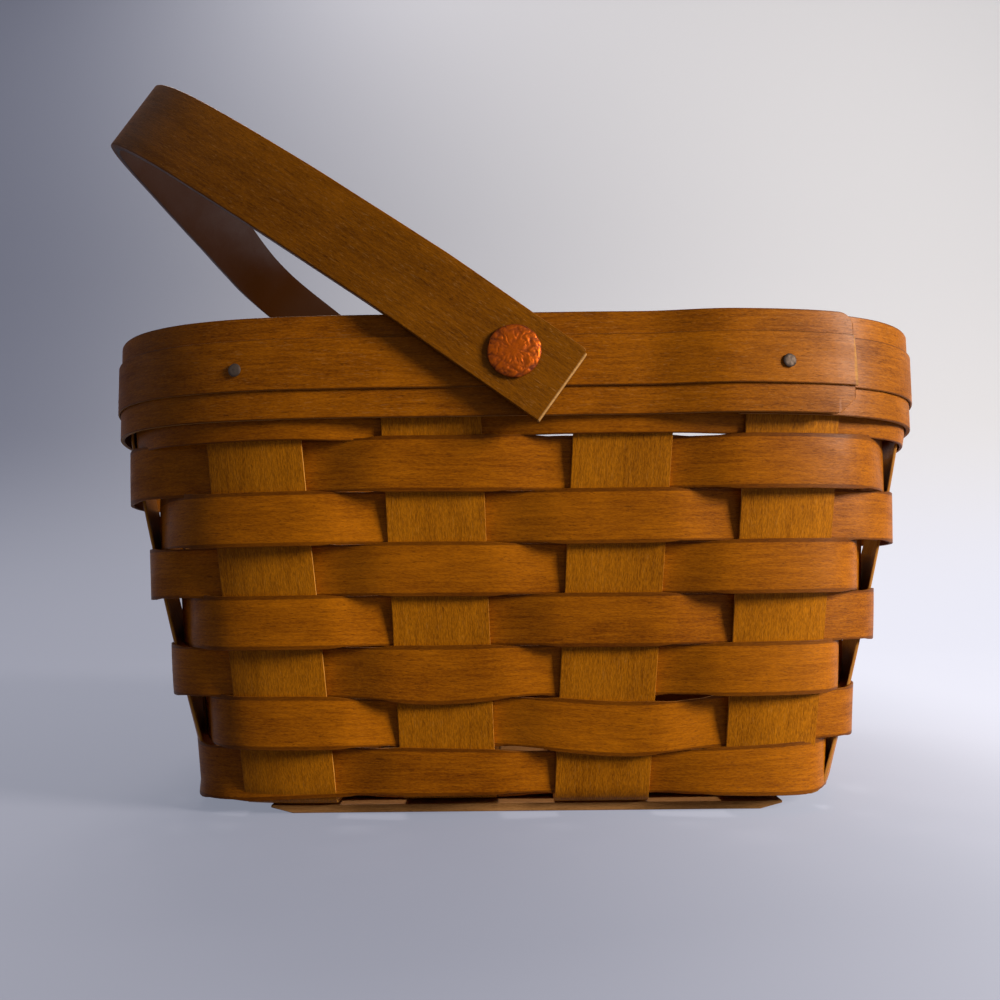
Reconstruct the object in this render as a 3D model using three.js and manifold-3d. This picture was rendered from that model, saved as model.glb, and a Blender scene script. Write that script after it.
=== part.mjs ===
// Square splint-woven basket with tapered walls, lapped rim bands and one riveted swing handle.
// Millimetres, +Z up, origin on the floor under the middle of the basket, front towards -Y.
import * as THREE from "three";
import { mergeVertices } from "three/addons/utils/BufferGeometryUtils.js";
import Module from "manifold-3d";

const wasm = await Module();
wasm.setup();

// Overall sizes
const RIM_HEIGHT = 130.2;
const WALL_HALF_AT_RIM = 115.9;
const WALL_LEAN = 0.252;
const RIM_SQUARENESS = 4.45;
const FOOT_SQUARENESS = 7.4;

// Splint stock
const SPLINT_THICKNESS = 0.8;
const GAP = 0.3;
const STAKE_WIDTH = 25.4;
const WEAVER_WIDTH = 12.7;
const ROW_PITCH = 13.35;
const ROW_LIFT = 0.2;
const STAKE_TOP_ROOM = 0.8;
const WEAVE_EASE = 0.8;
const FOOT_BEND_RADIUS = 3;

// Room between the outermost stakes and the corners
const LEFT_ROOM_AT_RIM = 34.1;
const RIGHT_ROOM_AT_RIM = 30.8;
const LEFT_ROOM_AT_FOOT = 16.5;
const RIGHT_ROOM_AT_FOOT = 10.9;
const SIDE_ROOM_AT_RIM = 29.7;
const SIDE_ROOM_AT_FOOT = 10.6;
const THIRD_STAKE_SHIFT_AT_RIM = 3.7;
const THIRD_STAKE_SHIFT_AT_FOOT = -2.1;

// Rim
const BAND_WIDTH = 26.3;
const BAND_THICKNESS = 1.2;
const BAND_ROOM = 0.5;
const TRIM_WIDTH = 13.2;
const TRIM_THICKNESS = 1;
const TRIM_DROP = 5.8;
const RIM_LAP_START = 56;
const RIM_LAP_END = 83.8;
const TRIM_LAP_SHIFT = 0.6;
const LAP_RISE = 24;
const INNER_LAP_START = 30;
const INNER_LAP_LENGTH = 28;

// Handle
const HANDLE_WIDTH = 21.7;
const HANDLE_THICKNESS = 2.8;
const HANDLE_REACH = 140;
const HANDLE_STRAIGHT = 28;
const HANDLE_SQUARENESS = 8.6;
const HANDLE_TAIL = 15.1;
const HANDLE_REST_ANGLE = 36;
const PIVOT_DROP = 11;

// Rivets and tacks
const RIVET_SHANK_RADIUS = 2.4;
const RIVET_HEAD_RADIUS = 6.7;
const RIVET_HEAD_HEIGHT = 1.7;
const RIVET_TAIL_RADIUS = 3.8;
const RIVET_TAIL_HEIGHT = 1.2;
const WASHER_RADIUS = 5.6;
const WASHER_THICKNESS = 1;
const TACK_SHANK_RADIUS = 0.6;
const TACK_HEAD_RADIUS = 1.75;
const TACK_HEAD_HEIGHT = 0.5;
const TACK_DROP = 13.5;
const LEFT_TACK_SHIFT = -1.2;
const RIGHT_TACK_SHIFT = -5;

// Base runners
const RUNNER_THICKNESS = 2.2;
const RUNNER_LEFT = 68;
const RUNNER_RIGHT = 72;
const RUNNER_SCARF = 6;
const RUNNER_TIP = 0.6;
const RUNNER_OUTSET = 6;

// Levels and offsets that follow from the sizes above
const WEAVE_STEP = SPLINT_THICKNESS + GAP;
const BASE_LOW = RUNNER_THICKNESS + GAP + SPLINT_THICKNESS / 2;
const BASE_HIGH = BASE_LOW + WEAVE_STEP;
const FOOT = BASE_LOW + FOOT_BEND_RADIUS;
const STAKE_TOP = RIM_HEIGHT - STAKE_TOP_ROOM;
const BAND_BOTTOM = RIM_HEIGHT - BAND_WIDTH;
const FIRST_ROW = FOOT + ROW_LIFT;
const ROWS = Math.floor((STAKE_TOP - FIRST_ROW - WEAVER_WIDTH) / ROW_PITCH) + 1;
const OUTER_BAND = WEAVE_STEP + SPLINT_THICKNESS / 2 + BAND_ROOM + BAND_THICKNESS / 2;
const TRIM = OUTER_BAND + BAND_THICKNESS / 2 + GAP + TRIM_THICKNESS / 2;
const TRIM_FACE = TRIM + TRIM_THICKNESS / 2;
const RIM_LAP_LIFT = BAND_THICKNESS + TRIM_THICKNESS + 2 * GAP;
const INNER_BAND = -(WEAVE_STEP + SPLINT_THICKNESS / 2 + GAP + BAND_THICKNESS / 2);
const INNER_FACE = INNER_BAND - BAND_THICKNESS / 2;
const INNER_LAP_LIFT = -(BAND_THICKNESS + GAP);
const HANDLE_HALF = WALL_HALF_AT_RIM + TRIM_FACE + GAP + HANDLE_THICKNESS / 2;
const PIVOT_HEIGHT = RIM_HEIGHT - PIVOT_DROP;
const TACK_HEIGHT = RIM_HEIGHT - TACK_DROP;

const stakeWood = new THREE.MeshStandardMaterial({ color: 0xa66a24, roughness: 0.55, metalness: 0 });
const weaverWood = new THREE.MeshStandardMaterial({ color: 0x9a5718, roughness: 0.5, metalness: 0 });
const rimWood = new THREE.MeshStandardMaterial({ color: 0x9c5f20, roughness: 0.48, metalness: 0 });
const handleWood = new THREE.MeshStandardMaterial({ color: 0x8a5318, roughness: 0.45, metalness: 0 });
const copper = new THREE.MeshStandardMaterial({ color: 0xc4703a, roughness: 0.35, metalness: 1 });
const iron = new THREE.MeshStandardMaterial({ color: 0x5c5a58, roughness: 0.5, metalness: 1 });

const basket = new THREE.Group();

function addPiece(name, geometry, material, parent = basket) {
  const mesh = new THREE.Mesh(geometry, material.clone());
  mesh.name = name;
  parent.add(mesh);
  return mesh;
}

function blend(from, to, fraction) {
  return from + (to - from) * fraction;
}

function ease(fraction) {
  const f = Math.min(Math.max(fraction, 0), 1);
  return f * f * (3 - 2 * f);
}

// Plan of the wall: a square with bowed sides and round corners, squarer at the foot than at the rim
function wallHalf(height) {
  return WALL_HALF_AT_RIM - WALL_LEAN * Math.max(BAND_BOTTOM - Math.max(height, FOOT), 0);
}

function squareness(height) {
  const below = Math.max(BAND_BOTTOM - Math.max(height, FOOT), 0) / (BAND_BOTTOM - FOOT);
  return blend(RIM_SQUARENESS, FOOT_SQUARENESS, below);
}

// Distance from the middle to the wall, measured along one axis at a place along the other
function wallAt(along, height) {
  const half = wallHalf(height);
  const power = squareness(height);
  return half * Math.pow(1 - Math.pow(Math.abs(along) / half, power), 1 / power);
}

// A point of the plan at an angle round the basket, moved out along the plan's normal
function planPoint(angle, height, offset) {
  const half = wallHalf(height);
  const power = squareness(height);
  const c = Math.cos(angle);
  const s = Math.sin(angle);
  const radius = half / Math.pow(Math.pow(Math.abs(c), power) + Math.pow(Math.abs(s), power), 1 / power);
  const normal = new THREE.Vector2(
    Math.sign(c) * Math.pow(Math.abs(c), power - 1),
    Math.sign(s) * Math.pow(Math.abs(s), power - 1),
  ).normalize();
  return new THREE.Vector2(radius * c, radius * s).addScaledVector(normal, offset);
}

function planDirection(angle, height) {
  const foot = planPoint(angle, height, 0);
  return planPoint(angle, height, 1).sub(foot);
}

// A flat strip bent into shape: place(i, w, t) gives the point of station i, w across and t through
function bentStrip(stations, acrossSegments, place) {
  const strip = new THREE.BoxGeometry(1, 1, 1, stations - 1, acrossSegments, 1);
  strip.deleteAttribute("normal");
  strip.deleteAttribute("uv");
  const geometry = mergeVertices(strip);
  const points = geometry.attributes.position;
  for (let i = 0; i < points.count; i++) {
    const station = Math.round((points.getX(i) + 0.5) * (stations - 1));
    const placed = place(station, points.getY(i), points.getZ(i));
    points.setXYZ(i, placed.x, placed.y, placed.z);
  }
  return facingOut(geometry);
}

// Turns the faces of a closed mesh outwards
function facingOut(geometry) {
  const points = geometry.attributes.position;
  const index = geometry.index;
  const [a, b, c] = [new THREE.Vector3(), new THREE.Vector3(), new THREE.Vector3()];
  let volume = 0;
  for (let i = 0; i < index.count; i += 3) {
    a.fromBufferAttribute(points, index.getX(i));
    b.fromBufferAttribute(points, index.getX(i + 1));
    c.fromBufferAttribute(points, index.getX(i + 2));
    volume += a.dot(b.cross(c));
  }
  if (volume < 0) {
    for (let i = 0; i < index.count; i += 3) {
      const first = index.getX(i);
      index.setX(i, index.getX(i + 2));
      index.setX(i + 2, first);
    }
  }
  geometry.computeVertexNormals();
  return geometry;
}

function toSolid(geometry) {
  const bare = geometry.clone();
  bare.deleteAttribute("normal");
  bare.deleteAttribute("uv");
  const merged = mergeVertices(bare);
  return new wasm.Manifold(
    new wasm.Mesh({
      numProp: 3,
      vertProperties: new Float32Array(merged.attributes.position.array),
      triVerts: new Uint32Array(merged.index.array),
    }),
  );
}

function toGeometry(solid) {
  const mesh = solid.getMesh();
  const geometry = new THREE.BufferGeometry();
  geometry.setAttribute("position", new THREE.BufferAttribute(new Float32Array(mesh.vertProperties), 3));
  geometry.setIndex(new THREE.BufferAttribute(new Uint32Array(mesh.triVerts), 1));
  geometry.computeVertexNormals();
  return geometry;
}

function drilled(geometry, drills) {
  return toGeometry(drills.reduce((solid, drill) => solid.subtract(toSolid(drill)), toSolid(geometry)));
}

// Stakes: four run front to back and four side to side, each one strip up both walls and under the base
function stakeRow(leftRoom, rightRoom, thirdShift, half) {
  const first = -(half - leftRoom - STAKE_WIDTH / 2);
  const last = half - rightRoom - STAKE_WIDTH / 2;
  const pitch = (last - first) / 3;
  return [first, first + pitch, first + 2 * pitch + thirdShift, last];
}

const frontAtRim = stakeRow(
  LEFT_ROOM_AT_RIM,
  RIGHT_ROOM_AT_RIM,
  THIRD_STAKE_SHIFT_AT_RIM,
  WALL_HALF_AT_RIM,
);
const frontAtFoot = stakeRow(
  LEFT_ROOM_AT_FOOT,
  RIGHT_ROOM_AT_FOOT,
  THIRD_STAKE_SHIFT_AT_FOOT,
  wallHalf(FOOT),
);
const sideAtRim = stakeRow(SIDE_ROOM_AT_RIM, SIDE_ROOM_AT_RIM, 0, WALL_HALF_AT_RIM);
const sideAtFoot = stakeRow(SIDE_ROOM_AT_FOOT, SIDE_ROOM_AT_FOOT, 0, wallHalf(FOOT));

function stakeCentre(atFoot, atRim, height) {
  return blend(atFoot, atRim, Math.max(height - FOOT, 0) / (RIM_HEIGHT - FOOT));
}

// The stations of a stake from one rim to the other, wall, bend, base weave, bend, wall
function stakeStations(crossed, startsLow) {
  const wall = [];
  const wallSteps = 5;
  wall.push({ height: STAKE_TOP });
  wall.push({ height: BAND_BOTTOM + 1 });
  for (let i = wallSteps; i >= 1; i--) {
    wall.push({ height: blend(FOOT, BAND_BOTTOM, i / wallSteps) });
  }
  for (let i = 0; i <= 3; i++) {
    wall.push({ turn: (Math.PI / 2) * (1 - i / 3) });
  }
  const base = [];
  const reach = STAKE_WIDTH / 2 + WEAVE_EASE;
  crossed.forEach((centre, i) => {
    const low = (i % 2 === 0) === startsLow;
    const level = low ? BASE_LOW : BASE_HIGH;
    if (i > 0) {
      base.push({ run: (crossed[i - 1] + centre) / 2, level: (BASE_LOW + BASE_HIGH) / 2 });
    }
    base.push({ run: centre - reach, level });
    base.push({ run: centre + reach, level });
  });
  return [
    ...wall.map((station) => ({ ...station, side: -1 })),
    ...base,
    ...wall.reverse().map((station) => ({ ...station, side: 1 })),
  ];
}

function stakePoint(station, across) {
  if ("run" in station) {
    return new THREE.Vector2(station.run, station.level);
  }
  if ("turn" in station) {
    const inset = FOOT_BEND_RADIUS * (1 - Math.sin(station.turn));
    return new THREE.Vector2(
      station.side * (wallAt(across, FOOT) - inset),
      FOOT - FOOT_BEND_RADIUS * Math.cos(station.turn),
    );
  }
  return new THREE.Vector2(station.side * wallAt(across, station.height), station.height);
}

function stakeGeometry(atFoot, atRim, crossed, startsLow, frontToBack, acrossSegments) {
  const stations = stakeStations(crossed, startsLow);
  const last = stations.length - 1;
  return bentStrip(stations.length, acrossSegments, (i, w, t) => {
    const centre = stakeCentre(atFoot, atRim, stakePoint(stations[i], atFoot).y);
    const across = centre + w * STAKE_WIDTH;
    const before = stakePoint(stations[Math.max(i - 1, 0)], across);
    const after = stakePoint(stations[Math.min(i + 1, last)], across);
    const along = after.sub(before).normalize();
    const point = stakePoint(stations[i], across);
    const run = point.x - along.y * t * SPLINT_THICKNESS;
    const height = point.y + along.x * t * SPLINT_THICKNESS;
    return frontToBack ? new THREE.Vector3(across, run, height) : new THREE.Vector3(run, across, height);
  });
}

// Where a row meets the sixteen uprights, going round from the front left
function crossingsAt(height) {
  const reach = STAKE_WIDTH / 2 + WEAVE_EASE;
  const crossings = [];
  const add = (atFoot, atRim, point) => {
    const centre = stakeCentre(atFoot, atRim, height);
    const angles = [-reach, 0, reach].map((shift) => {
      const [x, y] = point(centre + shift, wallAt(centre + shift, height));
      return Math.atan2(y, x);
    });
    angles.sort((a, b) => a - b);
    crossings.push(angles);
  };
  const order = [0, 1, 2, 3];
  order.forEach((i) => add(frontAtFoot[i], frontAtRim[i], (c, wall) => [c, -wall]));
  order.forEach((i) => add(sideAtFoot[i], sideAtRim[i], (c, wall) => [wall, c]));
  order.reverse();
  order.forEach((i) => add(frontAtFoot[i], frontAtRim[i], (c, wall) => [c, wall]));
  order.forEach((i) => add(sideAtFoot[i], sideAtRim[i], (c, wall) => [-wall, c]));
  let last = -Math.PI;
  return crossings.map((angles) => {
    const turned = angles.map((angle) => (angle < last ? angle + 2 * Math.PI : angle));
    last = turned[0];
    return turned;
  });
}

// Weaver rows: row 1 is the lowest, and each passes over the uprights that its neighbours pass under
function rowBottom(row) {
  return FIRST_ROW + (row - 1) * ROW_PITCH;
}

// A row that the rim bands clamp has its ends butted behind an upright, and a free row laps one pitch.
// Uprights are counted round from the front left: 0 to 3 front, 4 to 7 right, 8 to 11 back, 12 to 15 left.
function isClamped(row) {
  return rowBottom(row) + WEAVER_WIDTH > BAND_BOTTOM - ROW_LIFT;
}

// The upright where a row starts: a free row starts in front of one and a clamped row behind one
function startUpright(row, clamped) {
  const starts = (row % 2 === 1) !== clamped ? [9, 5, 13] : [14, 8, 10];
  return starts[Math.floor((row - 1) / 2) % starts.length];
}

function weaverStations(row) {
  const crossings = crossingsAt(rowBottom(row) + WEAVER_WIDTH / 2);
  const count = crossings.length;
  const overAt = (c) => ((c + row) % 2 === 0 ? 1 : -1);
  const anglesAt = (c) => crossings[c % count].map((angle) => angle + 2 * Math.PI * Math.floor(c / count));
  const clamped = isClamped(row);
  const first = startUpright(row, clamped);
  const last = first + count + (clamped ? 0 : 1);
  const butt = clamped ? GAP / WALL_HALF_AT_RIM : 0;
  const stations = [];
  const add = (angle, place, side) => {
    const inner = 1 - ease(place - first - 1);
    const outer = ease(place - (last - 2));
    const lap = clamped ? 0 : (outer * (1 + side) - inner * (1 - side)) / 2;
    stations.push({ angle, offset: WEAVE_STEP * (side + lap) });
  };
  for (let c = first; c <= last; c++) {
    const [start, middle, end] = anglesAt(c);
    const nearCorner = c % 4 === 0 || c % 4 === 3;
    const from = c === first ? middle + butt : start;
    const to = c === last ? middle - butt : end;
    const steps = (nearCorner ? 4 : 2) / (c === first || c === last ? 2 : 1);
    for (let i = 0; i <= steps; i++) {
      add(blend(from, to, i / steps), c, overAt(c));
    }
    if (c < last) {
      const gapSteps = c % 4 === 3 ? 4 : 2;
      for (let i = 1; i < gapSteps; i++) {
        const f = i / gapSteps;
        const side = blend(overAt(c), overAt(c + 1), ease(f));
        add(blend(end, anglesAt(c + 1)[0], f), c + f, side);
      }
    }
  }
  return stations;
}

function weaverGeometry(row) {
  const stations = weaverStations(row);
  const bottom = rowBottom(row);
  const bends = bottom < BAND_BOTTOM && bottom + WEAVER_WIDTH > BAND_BOTTOM;
  return bentStrip(stations.length, bends ? 2 : 1, (i, w, t) => {
    const height = w === 0 ? BAND_BOTTOM : bottom + WEAVER_WIDTH * (w + 0.5);
    const point = planPoint(stations[i].angle, height, stations[i].offset + t * SPLINT_THICKNESS);
    return new THREE.Vector3(point.x, point.y, height);
  });
}

// Rim bands: each goes once round and laps over its own start
function frontAngle(x) {
  return Math.atan2(-wallAt(x, RIM_HEIGHT), x);
}

function backAngle(x) {
  return Math.atan2(wallAt(x, RIM_HEIGHT), x);
}

// Where the tail of the outer band and the trim climbs onto their own start
const lapRise = {
  from: frontAngle(RIM_LAP_START - GAP - LAP_RISE),
  to: frontAngle(RIM_LAP_START - 2 * GAP),
};

function frontLift(x) {
  const fraction = (frontAngle(x) - lapRise.from) / (lapRise.to - lapRise.from);
  return x < RIM_LAP_END ? RIM_LAP_LIFT * ease(fraction) : 0;
}

function ringAngles(keys) {
  const corners = [-1, 1, 3, 5].map((quarter) => (quarter * Math.PI) / 4);
  const cornerReach = THREE.MathUtils.degToRad(20);
  const fine = THREE.MathUtils.degToRad(3);
  const coarse = THREE.MathUtils.degToRad(7);
  const turns = [-2 * Math.PI, 0, 2 * Math.PI];
  const middles = corners.flatMap((corner) => turns.map((turn) => corner + turn));
  const marks = middles.flatMap((middle) => [middle - cornerReach, middle + cornerReach]);
  const all = [...keys, ...marks.filter((m) => m > keys[0] + fine && m < keys[keys.length - 1] - fine)];
  all.sort((a, b) => a - b);
  const angles = [all[0]];
  for (let i = 1; i < all.length; i++) {
    const halfway = (all[i - 1] + all[i]) / 2;
    const nearCorner = middles.some((middle) => Math.abs(halfway - middle) < cornerReach);
    const nearLap = all[i] > keys[1] - fine || all[i - 1] < keys[0] + fine;
    const steps = Math.max(1, Math.ceil((all[i] - all[i - 1]) / (nearCorner || nearLap ? fine : coarse)));
    for (let s = 1; s <= steps; s++) {
      angles.push(blend(all[i - 1], all[i], s / steps));
    }
  }
  return angles;
}

function bandGeometry({ start, riseStart, riseEnd, end, bottom, width, thickness, offset, lift }) {
  const angles = ringAngles([start, riseStart, riseEnd, end]);
  return bentStrip(angles.length, 1, (i, w, t) => {
    const height = bottom + width * (w + 0.5);
    const raised = lift * ease((angles[i] - riseStart) / (riseEnd - riseStart));
    const point = planPoint(angles[i], height, offset + raised + t * thickness);
    return new THREE.Vector3(point.x, point.y, height);
  });
}

// Tacks: one through each outermost upright of every wall, square to the rim there
function tackPlaces() {
  const places = [];
  [0, 3].forEach((i) => {
    const shift = i === 0 ? LEFT_TACK_SHIFT : RIGHT_TACK_SHIFT;
    const x = stakeCentre(frontAtFoot[i], frontAtRim[i], TACK_HEIGHT) + shift;
    const y = stakeCentre(sideAtFoot[i], sideAtRim[i], TACK_HEIGHT) + shift;
    const end = i === 0 ? "left" : "right";
    const side = i === 0 ? "front" : "back";
    const along = `stake_lengthwise_${i + 1}`;
    places.push({ name: `tack_front_${end}`, angle: frontAngle(x), lifted: frontLift(x), stake: along });
    places.push({ name: `tack_back_${end}`, angle: backAngle(x), lifted: 0, stake: along });
    const across = `stake_crosswise_${i + 1}`;
    const wall = wallAt(y, RIM_HEIGHT);
    places.push({ name: `tack_right_${side}`, angle: Math.atan2(y, wall), lifted: 0, stake: across });
    places.push({ name: `tack_left_${side}`, angle: Math.atan2(y, -wall), lifted: 0, stake: across });
  });
  return places;
}

const tacks = tackPlaces();

// Moves a piece made along +Y, with the wall's middle at y = 0, to its place on the rim
function standOnRim(geometry, angle, height) {
  const foot = planPoint(angle, height, 0);
  const out = planDirection(angle, height);
  geometry.rotateZ(Math.atan2(out.y, out.x) - Math.PI / 2);
  geometry.translate(foot.x, foot.y, height);
  return geometry;
}

function drillRod(radius, sides, from, to) {
  const rod = new THREE.CylinderGeometry(radius, radius, to - from, sides);
  rod.translate(0, (from + to) / 2, 0);
  return rod;
}

const tackDrills = tacks.map(({ angle, lifted }) =>
  standOnRim(
    drillRod(TACK_SHANK_RADIUS + GAP, 8, 2 * INNER_FACE, 2 * (TRIM_FACE + lifted)),
    angle,
    TACK_HEIGHT,
  ),
);

const rivetDrills = [-Math.PI / 2, Math.PI / 2].map((angle) =>
  standOnRim(drillRod(RIVET_SHANK_RADIUS + GAP, 20, 2 * INNER_FACE, 2 * TRIM_FACE), angle, PIVOT_HEIGHT),
);

const rimDrills = [...tackDrills, ...rivetDrills];

function stakeDrills(name) {
  return tackDrills.filter((drill, i) => tacks[i].stake === name);
}

function addStakes() {
  for (let i = 0; i < 4; i++) {
    const outermost = i === 0 || i === 3;
    const segments = outermost ? 4 : 2;
    const lengthwise = `stake_lengthwise_${i + 1}`;
    const upright = stakeGeometry(frontAtFoot[i], frontAtRim[i], sideAtFoot, i % 2 === 0, true, segments);
    addPiece(lengthwise, drilled(upright, stakeDrills(lengthwise)), stakeWood);
    const crosswise = `stake_crosswise_${i + 1}`;
    const across = stakeGeometry(sideAtFoot[i], sideAtRim[i], frontAtFoot, i % 2 === 1, false, segments);
    addPiece(crosswise, drilled(across, stakeDrills(crosswise)), stakeWood);
  }
}

function addWeavers() {
  for (let row = 1; row <= ROWS; row++) {
    const bottom = rowBottom(row);
    const meets = (height, radius) => height + radius > bottom && height - radius < bottom + WEAVER_WIDTH;
    const drills = [
      ...(meets(TACK_HEIGHT, TACK_SHANK_RADIUS + GAP) ? tackDrills : []),
      ...(meets(PIVOT_HEIGHT, RIVET_SHANK_RADIUS + GAP) ? rivetDrills : []),
    ];
    addPiece(`weaver_${row}`, drilled(weaverGeometry(row), drills), weaverWood);
  }
}

function addRim() {
  const turn = 2 * Math.PI;
  const lapped = (shift) => ({
    start: frontAngle(RIM_LAP_START + shift),
    riseStart: lapRise.from + turn,
    riseEnd: lapRise.to + turn,
    end: frontAngle(RIM_LAP_END + shift) + turn,
    lift: RIM_LAP_LIFT,
  });
  const outer = bandGeometry({
    ...lapped(0),
    bottom: BAND_BOTTOM,
    width: BAND_WIDTH,
    thickness: BAND_THICKNESS,
    offset: OUTER_BAND,
  });
  const trim = bandGeometry({
    ...lapped(TRIM_LAP_SHIFT),
    bottom: RIM_HEIGHT - TRIM_DROP - TRIM_WIDTH,
    width: TRIM_WIDTH,
    thickness: TRIM_THICKNESS,
    offset: TRIM,
  });
  const inner = bandGeometry({
    start: backAngle(-INNER_LAP_START),
    riseStart: backAngle(-WASHER_RADIUS - 2 * GAP) + turn,
    riseEnd: backAngle(-INNER_LAP_START + 2 * GAP) + turn,
    end: backAngle(-INNER_LAP_START - INNER_LAP_LENGTH) + turn,
    lift: INNER_LAP_LIFT,
    bottom: BAND_BOTTOM,
    width: BAND_WIDTH,
    thickness: BAND_THICKNESS,
    offset: INNER_BAND,
  });
  addPiece("rim_band_outer", drilled(outer, rimDrills), rimWood);
  addPiece("rim_trim_strip", drilled(trim, rimDrills), rimWood);
  addPiece("rim_band_inner", drilled(inner, rimDrills), rimWood);
}

function addTacks() {
  tacks.forEach(({ name, angle, lifted }) => {
    const seat = TRIM_FACE + lifted + GAP;
    const profile = [
      new THREE.Vector2(0, INNER_FACE + GAP),
      new THREE.Vector2(TACK_SHANK_RADIUS, INNER_FACE + BAND_THICKNESS + GAP),
      new THREE.Vector2(TACK_SHANK_RADIUS, seat),
      new THREE.Vector2(TACK_HEAD_RADIUS, seat),
      new THREE.Vector2(TACK_HEAD_RADIUS, seat + TACK_HEAD_HEIGHT / 2),
      new THREE.Vector2(TACK_HEAD_RADIUS * 0.6, seat + TACK_HEAD_HEIGHT),
      new THREE.Vector2(0, seat + TACK_HEAD_HEIGHT),
    ];
    addPiece(name, standOnRim(turned(profile, 8), angle, TACK_HEIGHT), iron);
  });
}

function turned(profile, sides) {
  const lathe = new THREE.LatheGeometry(profile, sides);
  lathe.deleteAttribute("normal");
  lathe.deleteAttribute("uv");
  return facingOut(mergeVertices(lathe));
}

// Domed end of a rivet, from the rim of the dome up to the axis
function dome(radius, from, height, steps) {
  const points = [];
  for (let i = 0; i <= steps; i++) {
    const angle = (Math.PI / 2) * (i / steps);
    const r = i === steps ? 0 : radius * Math.cos(angle);
    points.push(new THREE.Vector2(r, from + height * Math.sin(angle)));
  }
  return points;
}

function addRivets() {
  const washerOut = INNER_FACE - GAP;
  const tailSeat = washerOut - WASHER_THICKNESS - GAP;
  const headSeat = TRIM_FACE + 2 * GAP + HANDLE_THICKNESS;
  const tail = dome(RIVET_TAIL_RADIUS, tailSeat, -RIVET_TAIL_HEIGHT, 3).reverse();
  const head = dome(RIVET_HEAD_RADIUS, headSeat + GAP, RIVET_HEAD_HEIGHT - GAP, 4);
  const rivet = [
    ...tail,
    new THREE.Vector2(RIVET_SHANK_RADIUS, tailSeat),
    new THREE.Vector2(RIVET_SHANK_RADIUS, headSeat),
    new THREE.Vector2(RIVET_HEAD_RADIUS, headSeat),
    ...head,
  ];
  const bore = RIVET_SHANK_RADIUS + GAP;
  const washer = [
    new THREE.Vector2(bore, washerOut - WASHER_THICKNESS),
    new THREE.Vector2(WASHER_RADIUS, washerOut - WASHER_THICKNESS),
    new THREE.Vector2(WASHER_RADIUS, washerOut),
    new THREE.Vector2(bore, washerOut),
    new THREE.Vector2(bore, washerOut - WASHER_THICKNESS),
  ];
  [["front", -Math.PI / 2], ["back", Math.PI / 2]].forEach(([side, angle]) => {
    addPiece(`rivet_${side}`, standOnRim(turned(rivet, 20), angle, PIVOT_HEIGHT), copper);
    addPiece(`rivet_washer_${side}`, standOnRim(turned(washer, 20), angle, PIVOT_HEIGHT), copper);
  });
}

// Handle: made lying flat to the left with its pivot line on the Y axis, then swung up to rest
// Beyond its straight ends the bow is side = half (1 - reach / arch) ^ (1 / squareness), cut at even turns
function handleStations() {
  const arch = HANDLE_REACH - HANDLE_STRAIGHT;
  const leanTangent = HANDLE_HALF / (HANDLE_SQUARENESS * arch);
  const steps = 20;
  const half = [{ reach: -HANDLE_TAIL, side: HANDLE_HALF }];
  for (let i = 0; i < steps; i++) {
    const turn = blend(Math.atan(leanTangent), Math.PI / 2, i / steps);
    const share = leanTangent / Math.tan(turn);
    half.push({
      reach: HANDLE_STRAIGHT + arch * (1 - Math.pow(share, HANDLE_SQUARENESS / (HANDLE_SQUARENESS - 1))),
      side: HANDLE_HALF * Math.pow(share, 1 / (HANDLE_SQUARENESS - 1)),
    });
  }
  const near = half.map(({ reach, side }) => ({ reach, side: -side }));
  return [...near, { reach: HANDLE_REACH, side: 0 }, ...half.reverse()];
}

function addHandle() {
  const stations = handleStations();
  const last = stations.length - 1;
  const hoop = bentStrip(stations.length, 1, (i, w, t) => {
    const isEnd = i <= 1 || i >= last - 1;
    const before = stations[Math.max(i - 1, 0)];
    const after = stations[Math.min(i + 1, last)];
    const along = new THREE.Vector2(after.reach - before.reach, after.side - before.side).normalize();
    const outward = new THREE.Vector2(0, Math.sign(stations[i].side));
    const out = isEnd ? outward : new THREE.Vector2(along.y, -along.x);
    const reach = stations[i].reach + out.x * t * HANDLE_THICKNESS;
    const side = stations[i].side + out.y * t * HANDLE_THICKNESS;
    return new THREE.Vector3(-reach, side, w * HANDLE_WIDTH);
  });
  const bores = [-1, 1].map((side) => {
    const half = HANDLE_HALF - HANDLE_THICKNESS;
    const rod = drillRod(RIVET_SHANK_RADIUS + GAP, 20, half, half + 2 * HANDLE_THICKNESS);
    return side < 0 ? rod.rotateX(Math.PI) : rod;
  });
  const swing = new THREE.Group();
  swing.position.z = PIVOT_HEIGHT;
  swing.rotation.y = THREE.MathUtils.degToRad(HANDLE_REST_ANGLE);
  addPiece("handle", drilled(hoop, bores), handleWood, swing);
  basket.add(swing);
}

// Runners: thin slats under the base, scarfed at both ends, that the basket stands on
function addRunners() {
  const side = new THREE.Shape();
  side.moveTo(-RUNNER_LEFT + RUNNER_SCARF, 0);
  side.lineTo(RUNNER_RIGHT - RUNNER_SCARF, 0);
  side.lineTo(RUNNER_RIGHT, RUNNER_THICKNESS - RUNNER_TIP);
  side.lineTo(RUNNER_RIGHT, RUNNER_THICKNESS);
  side.lineTo(-RUNNER_LEFT, RUNNER_THICKNESS);
  side.lineTo(-RUNNER_LEFT, RUNNER_THICKNESS - RUNNER_TIP);
  side.closePath();
  const places = { front: sideAtFoot[0] - RUNNER_OUTSET, middle: 0, back: sideAtFoot[3] + RUNNER_OUTSET };
  Object.entries(places).forEach(([name, y]) => {
    const slat = new THREE.ExtrudeGeometry(side, { depth: STAKE_WIDTH, bevelEnabled: false });
    slat.translate(0, 0, -STAKE_WIDTH / 2);
    slat.rotateX(Math.PI / 2);
    const runner = addPiece(`base_runner_${name}`, slat, stakeWood);
    runner.position.y = y;
  });
}

addRunners();
addStakes();
addWeavers();
addRim();
addTacks();
addHandle();
addRivets();

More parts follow.
